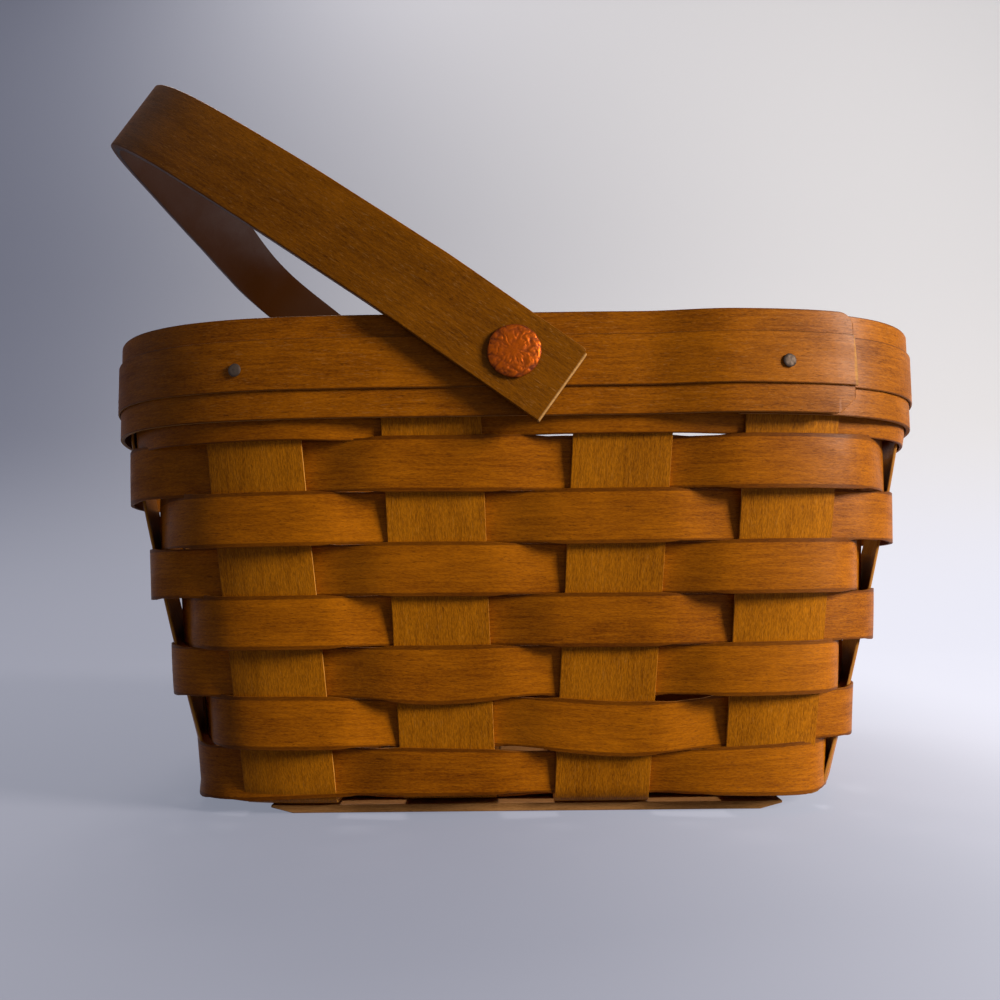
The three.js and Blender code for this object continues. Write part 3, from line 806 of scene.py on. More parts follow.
@dataclass
class Stakes:
    """The eight uprights, each one splint up two walls and under the base.

    Attributes:
        plan: The wall that they follow.
        width: Width of the splint.
        thickness: Thickness of the splint.
        base_level: Mid-height of the base weave.
        base_wave: How far a stake lies over or under that where it crosses.
        bend: Length of wall and base that the bend at the foot takes up.
        tuck: How far a foot is held in where the lowest row passes outside it.
        tuck_rise: How much higher such a foot starts to turn in.
        lengthwise: Middle lines of the front-to-back stakes, each at the foot and at the rim.
        crosswise: Middle lines of the side-to-side stakes.
    """

    plan: WallPlan
    width: float = 25.4 * MM
    thickness: float = 0.8 * MM
    base_level: float = 3.45 * MM
    base_wave: float = 0.58 * MM
    bend: float = 3.6 * MM
    tuck: float = 2.2 * MM
    tuck_rise: float = 3.4 * MM

    WALL_START = 1.1
    BEND_ABOVE_FOOT = 0.6
    WAVE_POWER = 0.6
    CUP = 0.12 * MM
    CUP_SPAN = 40 * MM
    NUDGE = 0.004

    lengthwise: list[tuple[float, float]] = field(default_factory=list)
    crosswise: list[tuple[float, float]] = field(default_factory=list)

    def __post_init__(self) -> None:
        """Reads where each stake stands from the frame."""
        for i in range(4):
            self.lengthwise.append(self.line(f"stake_lengthwise_{i + 1}", 0))
            self.crosswise.append(self.line(f"stake_crosswise_{i + 1}", 1))
        self.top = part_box("stake_lengthwise_1")[1].z

    def line(self, node: str, axis: int) -> tuple[float, float]:
        """Gives the middle line of a stake on the walls.

        Args:
            node: The stake's node.
            axis: The axis across the stake.

        Returns:
            The places of its middle at the foot and at the rim.
        """
        low, high = (corner[axis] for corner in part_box(node))
        first, second = low + self.width / 2, high - self.width / 2
        return (second, first) if abs(first) > abs(second) else (first, second)

    def centre(self, line: tuple[float, float], height: float) -> float:
        """Returns the middle of a stake at a height."""
        share = max(height - self.plan.foot, 0.0) / (self.top - self.plan.foot)
        return blend(line[0], line[1], share)

    def level(self, run: float, crossed: list[float], low_first: bool) -> float:
        """Gives the height of a stake where it lies in the base weave.

        Args:
            run: Place along the stake.
            crossed: Places of the stakes that it crosses.
            low_first: Whether it passes under the first one.

        Returns:
            The height of its middle.
        """
        pitch = crossed[1] - crossed[0]
        places = [crossed[0] - pitch / 2, *crossed, crossed[-1] + pitch / 2]
        number = float(np.interp(run, places, [-0.5, 0, 1, 2, 3, 3.5]))
        wave = math.cos(math.pi * number)
        wave = math.copysign(abs(wave) ** self.WAVE_POWER, wave)
        return self.base_level + self.base_wave * (-wave if low_first else wave)

    def section(
        self,
        share: float,
        across: float,
        crossed: list[float],
        low_first: bool,
        tucked: int,
    ) -> Vector:
        """Gives a point of a stake's middle line, seen square to the stake.

        Args:
            share: -2 at the first rim, -1 and 1 where the base starts, and 2 at the second rim. The wall
                starts at WALL_START.
            across: Place across the stake.
            crossed: Places of the stakes that it crosses.
            low_first: Whether it passes under the first one.
            tucked: -1 or 1 for the end whose foot is tucked in.

        Returns:
            The place along the base and the height.
        """
        side = math.copysign(1.0, share)
        held = side == tucked
        turn_top = self.plan.foot + self.bend * self.BEND_ABOVE_FOOT + (self.tuck_rise if held else 0.0)
        wall = self.plan.wall_at(across, turn_top)
        corner = wall - self.plan.lean * (turn_top - self.base_level) - (self.tuck if held else 0.0)
        base_end = corner - self.bend
        reach = abs(share)
        if reach >= self.WALL_START:
            height = blend(turn_top, self.top, (reach - self.WALL_START) / (2 - self.WALL_START))
            return Vector((side * self.plan.wall_at(across, height), height))
        if reach <= 1:
            run = side * base_end * reach
            return Vector((run, self.level(run, crossed, low_first)))
        start = Vector((base_end, self.level(side * base_end, crossed, low_first)))
        turn = (reach - 1) / (self.WALL_START - 1)
        first = start.lerp(Vector((corner, start.y)), turn)
        second = Vector((corner, start.y)).lerp(Vector((wall, turn_top)), turn)
        point = first.lerp(second, turn)
        return Vector((side * point.x, point.y))

    def build(self, shop: Workshop) -> None:
        """Makes all eight stakes."""
        for i in range(4):
            self.stake(shop, i, self.lengthwise, self.crosswise, i % 2 == 0, True)
            self.stake(shop, i, self.crosswise, self.lengthwise, i % 2 == 1, False)

    def stake(
        self,
        shop: Workshop,
        number: int,
        lines: list[tuple[float, float]],
        others: list[tuple[float, float]],
        low_first: bool,
        front_to_back: bool,
    ) -> None:
        """Makes one stake.

        Args:
            shop: Where the piece is dressed.
            number: Its number from the left or the front.
            lines: The middle lines of its own set.
            others: The middle lines of the set that it crosses.
            low_first: Whether it passes under the first one that it crosses.
            front_to_back: Whether it runs front to back.
        """
        line = lines[number]
        crossed = [other[0] for other in others]
        tucked = -1 if (number % 2 == 1) == front_to_back else 1
        up, turn = np.linspace(self.WALL_START, 2, 40), np.linspace(1, self.WALL_START, 10)[:-1]
        shares = np.unique(np.concatenate([up, turn, -up, -turn, np.linspace(-1, 1, 81)]))
        points = [self.section(float(share), line[0], crossed, low_first, tucked) for share in shares]
        steps = [(b - a).length for a, b in zip(points, points[1:])]
        lengths = np.concatenate([[0.0], np.cumsum(steps)])
        seed = number + (1.3 if front_to_back else 7.7)
        strip = Strip(
            length=float(lengths[-1]),
            width=self.width,
            thickness=self.thickness,
            seed=seed,
            step=1.6 * MM,
            across=8,
            uneven=0.14 * MM,
            outer=-1.0,
        )

        def bend(along: float, side: float, depth: float) -> Vector:
            """Bends a point of the flat stake.

            Args:
                along: Distance along the grain.
                side: Distance across it.
                depth: Distance through it.

            Returns:
                Its place on the basket.
            """
            share = float(np.interp(along, lengths, shares))
            height = self.section(share, line[0], crossed, low_first, tucked).y
            across = self.centre(line, height) + side
            before = self.section(max(share - self.NUDGE, -2.0), across, crossed, low_first, tucked)
            after = self.section(min(share + self.NUDGE, 2.0), across, crossed, low_first, tucked)
            middle = self.section(share, across, crossed, low_first, tucked)
            way = (after - before).normalized()
            cup = self.CUP * wander(along, self.CUP_SPAN, seed) * (1 - (2 * side / self.width) ** 2)
            run = middle.x - way.y * (depth + cup)
            rise = middle.y + way.x * (depth + cup)
            return Vector((across, run, rise)) if front_to_back else Vector((run, across, rise))

        kind, node = ("front_to_back", "lengthwise") if front_to_back else ("side_to_side", "crosswise")
        name = f"{kind}_stake_{number + 1}"
        shop.place(strip.bent(bend), name, f"stake_{node}_{number + 1}", Slot.STAKE, Body.BASKET)


@dataclass(frozen=True)
class Sag:
    """A place on the front where a row hangs lower than its neighbours.

    Attributes:
        row: The row.
        place: Where it is, beside the middle of the front.
        spread: How far it reaches to each side.
        top: How much lower the upper edge hangs.
        bottom: How much lower the lower edge hangs.
    """

    row: int
    place: float
    spread: float
    top: float
    bottom: float

    def drop(self, x: float, share: float) -> float:
        """Returns the drop beside the middle, for a share of 0 at the lower and 1 at the upper edge."""
        return blend(self.bottom, self.top, share) * math.exp(-(((x - self.place) / self.spread) ** 2))


@dataclass
class Weavers:
    """The rows of weaving, each passing in front of every second upright.

    Attributes:
        stakes: The uprights.
        rows: Number of rows.
        thickness: Thickness of the splint.
        step: How far a weaver stands off the wall's middle where it crosses an upright.
        corner_step: How much further it stands off beside a corner.
        upright: How far a row stands upright instead of leaning, along a wall and beside a corner.
        layer: Distance between two layers where a weaver laps over its own start.
        hug: How closely a weaver keeps to an upright before it passes to the other side.
        seam: Gap between two rows where they pass each other.
        overlap: How much wider a row is where it crosses an upright.
        odd_starts: Uprights, counted round, where odd free rows start.
        even_starts: Uprights where even free rows start.
        end_room: Gap between the butted ends of a row under the rim.
        turn_in: How far a row is drawn in at a corner where it then passes inside an upright, at mid-height.
        turn_rows: Number of rows above and below mid-height at which that has faded out.
        turn_spread: How far that reaches, in spacings of the uprights.
        lift: How much higher the upper edge of such a row stands.
        sags: Where single rows hang low.
    """

    stakes: Stakes
    rows: int = 9
    thickness: float = 0.8 * MM
    step: float = 1.45 * MM
    corner_step: float = 0.75 * MM
    upright: tuple[float, float] = (0.3, 0.75)
    layer: float = 1.0 * MM
    hug: float = 5.4
    seam: float = 0.16 * MM
    overlap: float = 0.5 * MM
    odd_starts: tuple[int, ...] = (9, 5, 13)
    even_starts: tuple[int, ...] = (14, 8, 10)
    end_room: float = 0.3 * MM
    turn_in: float = 3.0 * MM
    turn_rows: float = 3.4
    turn_spread: tuple[float, float] = (0.5, 0.5)
    lift: float = 2.4 * MM
    sags: tuple[Sag, ...] = (
        Sag(row=3, place=-22 * MM, spread=18 * MM, top=0.4 * MM, bottom=1.8 * MM),
        Sag(row=2, place=-26 * MM, spread=16 * MM, top=1.2 * MM, bottom=0.3 * MM),
        Sag(row=2, place=30 * MM, spread=24 * MM, top=2.2 * MM, bottom=2.7 * MM),
        Sag(row=1, place=20 * MM, spread=52 * MM, top=2.1 * MM, bottom=0.0),
        Sag(row=1, place=-88 * MM, spread=26 * MM, top=0.5 * MM, bottom=1.9 * MM),
        Sag(row=1, place=86 * MM, spread=26 * MM, top=0.0, bottom=0.9 * MM),
        Sag(row=8, place=-42 * MM, spread=16 * MM, top=0.0, bottom=0.8 * MM),
        Sag(row=8, place=-84 * MM, spread=24 * MM, top=0.0, bottom=0.7 * MM),
        Sag(row=7, place=1 * MM, spread=8 * MM, top=-0.8 * MM, bottom=0.0),
        Sag(row=7, place=-92 * MM, spread=26 * MM, top=-1.3 * MM, bottom=0.0),
    )

    TURNING_CORNERS = ((3.68, 4), (7.32, 7))
    CUP = 0.1 * MM
    CUP_SPAN = 30 * MM
    DRIFT = 0.3 * MM
    DRIFT_SPAN = 60 * MM

    def uprights(self, height: float) -> list[float]:
        """Finds the sixteen uprights at a height.

        Args:
            height: Height on the wall.

        Returns:
            Their angles round the basket, from the front left.
        """
        plan, stakes = self.stakes.plan, self.stakes
        along = [stakes.centre(line, height) for line in stakes.lengthwise]
        beside = [stakes.centre(line, height) for line in stakes.crosswise]
        wall = plan.wall_at
        places = [(x, -wall(x, height)) for x in along]
        places += [(wall(y, height), y) for y in beside]
        places += [(x, wall(x, height)) for x in reversed(along)]
        places += [(-wall(y, height), y) for y in reversed(beside)]
        angles = [math.atan2(y, x) for x, y in places]
        return [angle + TURN if angle < angles[0] else angle for angle in angles]

    def build(self, shop: Workshop) -> None:
        """Makes every row."""
        for row in range(1, self.rows + 1):
            self.weaver(shop, row)

    def side(self, row: int, number: float) -> float:
        """Returns 1 where a row passes outside an upright and -1 where it passes inside one."""
        pull = self.hug * math.asin(math.cos(math.pi * (number + row))) / math.pi
        return pull / (1 + abs(pull) ** 3) ** (1 / 3)

    @staticmethod
    def corner(number: float) -> float:
        """Returns 1 from a corner to the uprights beside it, and 0 along the middle of a wall."""
        return ease(abs((number + 0.5) % 4 - 2) - 0.5)

    def turning(self, row: int, number: float, spread: float) -> float:
        """Tells whether a row turns in at a corner to pass inside the first upright beyond it.

        Args:
            row: The row.
            number: A place, counted in uprights.
            spread: How far around such a corner the answer fades out.

        Returns:
            1 at such a corner, and 0 elsewhere.
        """
        near = 0.0
        for corner, upright in self.TURNING_CORNERS:
            if self.side(row, upright) < 0:
                near = max(near, ease(1 - abs(number % 8 - corner) / spread))
        return near

    def weaver(self, shop: Workshop, row: int) -> None:
        """Makes one row.

        Args:
            shop: Where the piece is dressed.
            row: Its number, from the lowest up.
        """
        plan = self.stakes.plan
        low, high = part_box(f"weaver_{row}")
        middle, width = (low.z + high.z) / 2, high.z - low.z
        clamped = high.z > plan.band_bottom
        starts = self.odd_starts if (row % 2 == 1) != clamped else self.even_starts
        first = starts[(row - 1) // 2 % len(starts)]
        last = first + 16 + (0 if clamped else 1)
        angles = self.uprights(middle)
        numbers = list(range(first - 1, last + 2))
        marks = [angles[n % 16] + TURN * (n // 16) for n in numbers]
        room = self.end_room / plan.half_at_rim if clamped else 0.0
        hoop = Hoop(plan, middle, marks[1] + room, marks[-2] - room)
        seed = row * 1.37
        drawn = self.turn_in * max(1 - ((row - 4) / self.turn_rows) ** 2, 0.0)
        lowest, next_up = (sum(corner.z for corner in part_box(f"weaver_{n}")) / 2 for n in (1, 2))
        grow = max(next_up - lowest - width - self.seam, 0.0) / 2

        def outline(along: float) -> tuple[float, float]:
            """Trims the row.

            Args:
                along: Distance along the row.

            Returns:
                The lower and the upper edge.
            """
            number = float(np.interp(hoop.angle(along), marks, numbers))
            half = width / 2 + grow + self.overlap * ease((abs(self.side(row, number)) - 0.5) / 0.4)
            return -half, half + self.lift * self.turning(row, number, self.turn_spread[1])

        strip = Strip(
            length=hoop.length,
            width=width,
            thickness=self.thickness,
            seed=seed,
            uneven=0.06 * MM,
            outline=None if clamped else outline,
        )

        def offset(number: float) -> float:
            """Passes the row before or behind an upright.

            Args:
                number: A place, counted in uprights.

            Returns:
                How far the row's middle stands off the wall's.
            """
            side = self.side(row, number)
            if clamped:
                return self.step * side
            inner = 1 - ease(number - first - 1)
            outer = ease(number - (last - 2))
            spread = self.corner_step * self.corner(number) if row > 1 else 0.0
            out = (self.step + spread) * side
            out -= drawn * self.turning(row, number, self.turn_spread[0])
            return out + self.layer * (outer * (1 + side) - inner * (1 - side)) / 2

        def bend(along: float, side: float, depth: float) -> Vector:
            """Bends a point of the flat weaver.

            Args:
                along: Distance along the grain.
                side: Distance across it.
                depth: Distance through it.

            Returns:
                Its place on the basket.
            """
            angle = hoop.angle(along)
            number = float(np.interp(angle, marks, numbers))
            cup = self.CUP * wander(along, self.CUP_SPAN, seed + 40) * (1 - (2 * side / width) ** 2)
            point = plan.point(angle, middle, 0.0)
            sags = [sag for sag in self.sags if sag.row == row and point.y < 0]
            lower = sum(sag.drop(point.x, side / width + 0.5) for sag in sags)
            if clamped:
                return plan.point(angle, middle + side - lower, offset(number) + depth + cup)
            drift = self.DRIFT * wander(angle * plan.half_at_rim, self.DRIFT_SPAN, 20 + 0.02 * row)
            upright = blend(*self.upright, self.corner(number))
            out = offset(number) + depth + cup - upright * plan.lean * side
            return plan.point(angle, middle + side + drift - lower, out)

        shape = strip.bent(bend)
        shop.place(shape, f"weaver_row_{row}", f"weaver_{row}", Slot.WEAVER, Body.BASKET)


@dataclass
class Lap:
    """Where a rim strip climbs over its own start.

    Attributes:
        start: Angle of the strip's start.
        rise_start: Angle, one turn on, where it starts to climb.
        rise_end: Angle where it has climbed.
        end: Angle of its end.
        lift: How far it climbs.
    """

    start: float
    rise_start: float
    rise_end: float
    end: float
    lift: float


@dataclass
class Rim:
    """The two bands that clamp the wall's top edge, and the trim strip on the outer one.

    Attributes:
        plan: The wall that they follow.
        lap_start: Where the outer band starts, right of the middle of the front.
        lap_end: Where it ends.
        trim_shift: How much further the trim starts and ends.
        climb: Length over which the lap climbs.
        inner_start: Where the inner band starts, left of the middle of the back.
        inner_climb_start: Where its lap starts to climb.
        inner_lap: Length of its lap.
        outer_middle: Distance of the outer band's middle from the wall's.
        trim_middle: Distance of the trim's middle from the wall's.
        inner_middle: Distance of the inner band's middle from the wall's.
        band_thickness: Thickness of the bands.
        trim_thickness: Thickness of the trim.
        outer_lift: How far the outer band and the trim climb.
        inner_lift: How far the inner band climbs, inwards.
        corner_round: Radius of the upper corner of an end.
        corner_clip: Length and height of the lower corner that is cut off.
        trim_slant: How far the trim's end leans for each metre of its width.
    """

    plan: WallPlan
    lap_start: float = 56 * MM
    lap_end: float = 84.6 * MM
    trim_shift: float = 0.1 * MM
    climb: float = 24 * MM
    inner_start: float = -30 * MM
    inner_climb_start: float = -6.2 * MM
    inner_lap: float = 28 * MM
    outer_middle: float = 2.6 * MM
    trim_middle: float = 3.65 * MM
    inner_middle: float = -2.4 * MM
    band_thickness: float = 1.2 * MM
    trim_thickness: float = 0.7 * MM
    outer_lift: float = 2.8 * MM
    inner_lift: float = -1.5 * MM
    corner_round: float = 4.2 * MM
    corner_clip: tuple[float, float] = (4.9 * MM, 4.2 * MM)
    trim_slant: float = -0.07

    CLEARANCE = 0.6 * MM
    SOFTENING = 0.6 * MM
    FULLNESS = 0.95
    CUP = 0.06 * MM
    CUP_SPAN = 45 * MM

    def front(self, x: float) -> float:
        """Returns the angle of a place on the front, one turn on from the strip's start."""
        return math.atan2(-self.plan.wall_at(x, self.plan.rim_top), x) + TURN

    def back(self, x: float) -> float:
        """Returns the angle of a place on the back, one turn on from the strip's start."""
        return math.atan2(self.plan.wall_at(x, self.plan.rim_top), x) + TURN

    def shaped_end(self, length: float, width: float) -> Callable[[float], tuple[float, float]]:
        """Gives the outline of a band with one corner rounded and one cut off at its far end.

        Args:
            length: Length of the band.
            width: Width of the band.

        Returns:
            The outline.
        """
        radius = self.corner_round
        clip, rise = self.corner_clip
        soft = self.SOFTENING

        def outline(along: float) -> tuple[float, float]:
            """Trims the band.

            Args:
                along: Distance along the band.

            Returns:
                The lower and the upper edge.
            """
            into_round = max(0.0, along - (length - radius * self.FULLNESS))
            drop = radius - math.sqrt(radius**2 - into_round**2)
            into_clip = math.hypot(max(0.0, along - (length - clip)), soft) - soft
            return -width / 2 + rise * into_clip / (math.hypot(clip, soft) - soft), width / 2 - drop

        return outline

    def build(self, shop: Workshop) -> None:
        """Makes the bands and the trim."""
        climb = (self.front(self.lap_start - self.climb), self.front(self.lap_start - self.CLEARANCE))
        outer = Lap(self.front(self.lap_start) - TURN, *climb, self.front(self.lap_end), self.outer_lift)
        start, end = self.lap_start + self.trim_shift, self.lap_end + self.trim_shift
        trim = Lap(self.front(start) - TURN, *climb, self.front(end), self.outer_lift)
        inner = Lap(
            self.back(self.inner_start) - TURN,
            self.back(self.inner_climb_start),
            self.back(self.inner_start + self.CLEARANCE),
            self.back(self.inner_start - self.inner_lap),
            self.inner_lift,
        )
        self.band(shop, "outer_rim_band", "rim_band_outer", outer, self.outer_middle, self.band_thickness)
        self.band(shop, "rim_trim", "rim_trim_strip", trim, self.trim_middle, self.trim_thickness)
        self.band(shop, "inner_rim_band", "rim_band_inner", inner, self.inner_middle, self.band_thickness)

    def band(self, shop: Workshop, name: str, node: str, lap: Lap, offset: float, thickness: float) -> None:
        """Makes one strip of the rim.

        Args:
            shop: Where the piece is dressed.
            name: The piece's name.
            node: The node that it stands for.
            lap: Where it laps.
            offset: Distance of its middle from the wall's.
            thickness: Its thickness.
        """
        low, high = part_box(node)
        middle, width = (low.z + high.z) / 2, high.z - low.z
        hoop = Hoop(self.plan, middle, lap.start, lap.end)
        is_trim = node == "rim_trim_strip"
        seed = 3.1 + offset / MM
        strip = Strip(
            length=hoop.length,
            width=width,
            thickness=thickness,
            seed=seed,
            across=4 if is_trim else 6,
            round_over=0.22 * MM,
            outline=None if is_trim else self.shaped_end(hoop.length, width),
            slant=self.trim_slant if is_trim else 0.0,
            fine_end=6 * MM,
            uneven=0.08 * MM,
            pale_end=0.7 * MM if is_trim else 0.0,
        )

        def bend(along: float, side: float, depth: float) -> Vector:
            """Bends a point of the flat strip.

            Args:
                along: Distance along the grain.
                side: Distance across it.
                depth: Distance through it.

            Returns:
                Its place on the basket.
            """
            angle = hoop.angle(along)
            raised = lap.lift * ease((angle - lap.rise_start) / (lap.rise_end - lap.rise_start))
            cup = self.CUP * wander(along, self.CUP_SPAN, seed + 9)
            return self.plan.point(angle, middle + side, offset + raised + depth + cup)

        shop.place(strip.bent(bend), name, node, Slot.RIM, Body.BASKET)


@dataclass
class Handle:
    """The flat hoop that swings on two rivets.

    Attributes:
        pivot: Height of the rivets.
        half: Distance of the hoop's middle from the basket's at the rivets.
        reach: Distance from the rivets to the top of the hoop.
        straight: Length of the straight part of a leg beyond the rivet.
        squareness: Power of the curve of the bow.
        tail: Length of a leg past the rivet.
        width: Width of the stock.
        thickness: Thickness of the stock.
        rest: Angle of the hoop over the horizontal, towards the left.
        corner: Radius of the upper corner of each end.
    """

    pivot: float
    half: float = 122.1 * MM
    reach: float = 140 * MM
    straight: float = 28 * MM
    squareness: float = 8.6
    tail: float = 15.1 * MM
    width: float = 21.7 * MM
    thickness: float = 2.8 * MM
    rest: float = math.radians(36)
    corner: float = 1.9 * MM

    FULLNESS = 0.95
    NUDGE = 1.5 * MM

    def path(self) -> tuple[np.ndarray, np.ndarray]:
        """Works out the hoop's middle line.

        Returns:
            The distances along the hoop, and the reach and side of the middle line there.
        """
        arch = self.reach - self.straight
        lean = self.half / (self.squareness * arch)
        turns = np.linspace(math.atan(lean), math.pi / 2, 240)
        shares = lean / np.tan(turns)
        reach = self.straight + arch * (1 - shares ** (self.squareness / (self.squareness - 1)))
        side = self.half * shares ** (1 / (self.squareness - 1))
        leg = np.linspace(-self.tail, self.straight, 20)[:-1]
        reach, side = np.concatenate([leg, reach]), np.concatenate([np.full(len(leg), self.half), side])
        near, far = np.stack([reach, -side], axis=1), np.stack([reach, side], axis=1)
        points = np.concatenate([near, far[-2::-1]])
        steps = np.linalg.norm(np.diff(points, axis=0), axis=1)
        return np.concatenate([[0.0], np.cumsum(steps)]), points

    def eased_ends(self, length: float) -> Callable[[float], tuple[float, float]]:
        """Gives the outline of the hoop with the upper corner of each end rounded.

        Args:
            length: Length of the hoop.

        Returns:
            The outline.
        """
        radius = self.corner

        def outline(along: float) -> tuple[float, float]:
            """Trims the hoop.

            Args:
                along: Distance along the hoop.

            Returns:
                The lower and the upper edge.
            """
            into = self.FULLNESS * max(0.0, radius - min(along, length - along))
            return -self.width / 2, self.width / 2 - radius + math.sqrt(radius**2 - into**2)

        return outline

    def build(self, shop: Workshop) -> None:
        """Makes the hoop."""
        lengths, points = self.path()
        swing = Matrix.Rotation(self.rest, 3, "Y")
        strip = Strip(
            length=float(lengths[-1]),
            width=self.width,
            thickness=self.thickness,
            seed=11.9,
            step=1.8 * MM,
            across=6,
            round_over=0.45 * MM,
            outline=self.eased_ends(float(lengths[-1])),
            fine_end=2.1 * MM,
            uneven=0.12 * MM,
            pale_end=0.5 * MM,
        )

        def spot(along: float) -> Vector:
            """Returns the reach and side of the middle line at a distance along the hoop."""
            return Vector([float(np.interp(along, lengths, points[:, k])) for k in (0, 1)])

        def bend(along: float, side: float, depth: float) -> Vector:
            """Bends a point of the flat hoop.

            Args:
                along: Distance along the grain.
                side: Distance across it.
                depth: Distance through it.

            Returns:
                Its place on the basket.
            """
            before = spot(max(along - self.NUDGE, 0.0))
            after = spot(min(along + self.NUDGE, strip.length))
            way = (after - before).normalized()
            middle = spot(along)
            reach = middle.x + way.y * depth
            beside = middle.y - way.x * depth
            turned = swing @ Vector((-reach, beside, side))
            return turned + Vector((0, 0, self.pivot))

        shop.place(strip.bent(bend), "swing_handle", "handle", Slot.HANDLE, Body.HANDLE)


@dataclass
class Fastenings:
    """The copper rivets with their washers, and the iron tacks.

    Attributes:
        plan: The wall that they go through.
        sides: Number of sides of a rivet or washer.
        head_rings: Number of rings of a rivet's head.
        head_height: Height of that head.
        shank: Radius of a rivet's shank.
        tail: Radius of a rivet's tail.
        tail_height: Height of that tail.
        tail_rings: Number of rings of that tail.
        dent: Depth of the folds that the hammer left on a rivet.
        folds: How close the folds are, round the head.
        bore: Radius of a washer's hole.
        soft: How far a washer's edges are eased.
        sunk: How much deeper a tack's head sits than the frame's, on the planed trim.
        tack_head: Radius of a tack's head.
        tack_thickness: Thickness of that head.
        tack_shank: Radius of a tack's shank.
        tack_length: Length of a tack under its head.
        tack_point: Length of its point.
        tack_sides: Number of sides of a tack.
    """

    plan: WallPlan
    sides: int = 64
    head_rings: int = 12
    head_height: float = 1.55 * MM
    shank: float = 2.4 * MM
    tail: float = 3.8 * MM
    tail_height: float = 1.2 * MM
    tail_rings: int = 6
    dent: float = 0.36 * MM
    folds: float = 0.6
    bore: float = 2.7 * MM
    soft: float = 0.25 * MM
    sunk: float = 0.55 * MM
    tack_head: float = 1.72 * MM
    tack_thickness: float = 0.42 * MM
    tack_shank: float = 0.6 * MM
    tack_length: float = 7.0 * MM
    tack_point: float = 1.2 * MM
    tack_sides: int = 28

    UNDERSIDE_SHARE = 0.93
    EDGE_HEIGHT = 0.25 * MM
    CROWN_LOSS = 0.45 * MM
    RING_POWER = 1.3
    DOME_POWER = 8 / 3
    UNDERSIDE_MARGIN = 0.05 * MM
    WARP = 0.8
    WARP_SIZE = 1.9 * MM
    FOLD_SIZE = 2.1 * MM
    FADE = 1.6
    TAIL_DENT = -0.4
    RAGGED = 0.22

    @staticmethod
    def turned(profile: Iterable[tuple[float, float]], sides: int) -> bmesh.types.BMesh:
        """Turns a profile round the Y axis.

        Args:
            profile: Radius and place along Y of each point, from the back to the front.
            sides: Number of sides.

        Returns:
            The turned shape.
        """
        shape = bmesh.new()
        points = [shape.verts.new((radius, place, 0.0)) for radius, place in profile]
        lines = [shape.edges.new(pair) for pair in zip(points, points[1:])]
        bmesh.ops.spin(
            shape,
            geom=[*points, *lines],
            cent=(0, 0, 0),
            axis=(0, 1, 0),
            angle=TURN,
            steps=sides,
            use_merge=True,
        )
        bmesh.ops.remove_doubles(shape, verts=shape.verts, dist=0.002 * MM)
        bmesh.ops.recalc_face_normals(shape, faces=shape.faces)
        return shape

    def rivet(self, shop: Workshop, side: str, turn: float) -> None:
        """Makes a rivet.

        Args:
            shop: Where the piece is dressed.
            side: Front or back.
            turn: Half a turn for the front, none for the back.
        """
        low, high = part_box(f"rivet_{side}")
        radius = (high.x - low.x) / 2
        near, far = sorted((abs(low.y), abs(high.y)))
        seat = far - self.head_height
        neck = near + self.tail_height
        profile = [(0.0, near)]
        for i in range(1, self.tail_rings + 1):
            swing = math.pi / 2 * i / self.tail_rings
            profile.append((self.tail * math.sin(swing), near + self.tail_height * (1 - math.cos(swing))))
        profile += [(self.shank, neck), (self.shank, seat), (radius * self.UNDERSIDE_SHARE, seat)]
        for i in range(self.head_rings + 1):
            share = 1 - (i / self.head_rings) ** self.RING_POWER
            rise = math.sqrt(1 - share**self.DOME_POWER)
            crown = self.head_height - self.CROWN_LOSS
            profile.append((radius * share, seat + self.EDGE_HEIGHT + crown * rise))
        shape = self.turned(profile, self.sides)
        bmesh.ops.subdivide_edges(
            shape,
            edges=[e for e in shape.edges if min(v.co.y for v in e.verts) > seat],
            cuts=1,
            use_grid_fill=True,
        )
        self.hammer(shape, radius, seat, neck, turn)
        self.stand(shape, turn)
        bmesh.ops.triangulate(shape, faces=[f for f in shape.faces if len(f.verts) > 4])
        shop.place(shape, f"{side}_rivet", f"rivet_{side}", Slot.COPPER, Body.BASKET)

    def hammer(self, shape: bmesh.types.BMesh, radius: float, seat: float, neck: float, turn: float) -> None:
        """Folds the head and the tail of a rivet as a hammer does, and marks the patina in the folds and a
        painted shade towards the head's rim.

        Args:
            shape: The turned rivet.
            radius: Radius of its head.
            seat: Place of the head's underside.
            neck: Place of the tail's underside.
            turn: A number that makes each rivet differ.
        """
        patina_and_shade = shape.verts.layers.float.new("patina_and_shade")
        for vert in shape.verts:
            if neck < vert.co.y <= seat + self.UNDERSIDE_MARGIN:
                continue
            reach = vert.co.xz.length
            share = reach / radius
            way = vert.co.xz.normalized() if reach > 0 else Vector((0, 0))
            warp = jitter(vert.co / self.WARP_SIZE) * self.WARP
            fan = way * self.folds * min(share * self.FADE, 1.0)
            spread = vert.co.xz / self.FOLD_SIZE
            place = Vector((fan.x + spread.x, fan.y + spread.y, turn)) + warp
            crease = 1 - min(abs(noise.noise(place)) * 4.2, 1.0)
            fine = 1 - min(abs(noise.noise(place * 2.3)) * 3.0, 1.0)
            depth = 0.65 * crease + 0.35 * fine
            # Patina in the folds, and painted shade that darkens the head towards its rim.
            vert[patina_and_shade] = min(depth * (0.45 + 0.7 * share**2) + 0.25 * share**6, 1.0)
            dent = self.dent * depth * min(share * self.FADE, 1.0) * (1 - 0.5 * share**6)
            vert.co.y -= dent * (1 if vert.co.y > seat else self.TAIL_DENT)
            if vert.co.y > seat:
                vert.co += Vector((way.x, 0, way.y)) * self.RAGGED * MM * noise.noise(place) * share**4

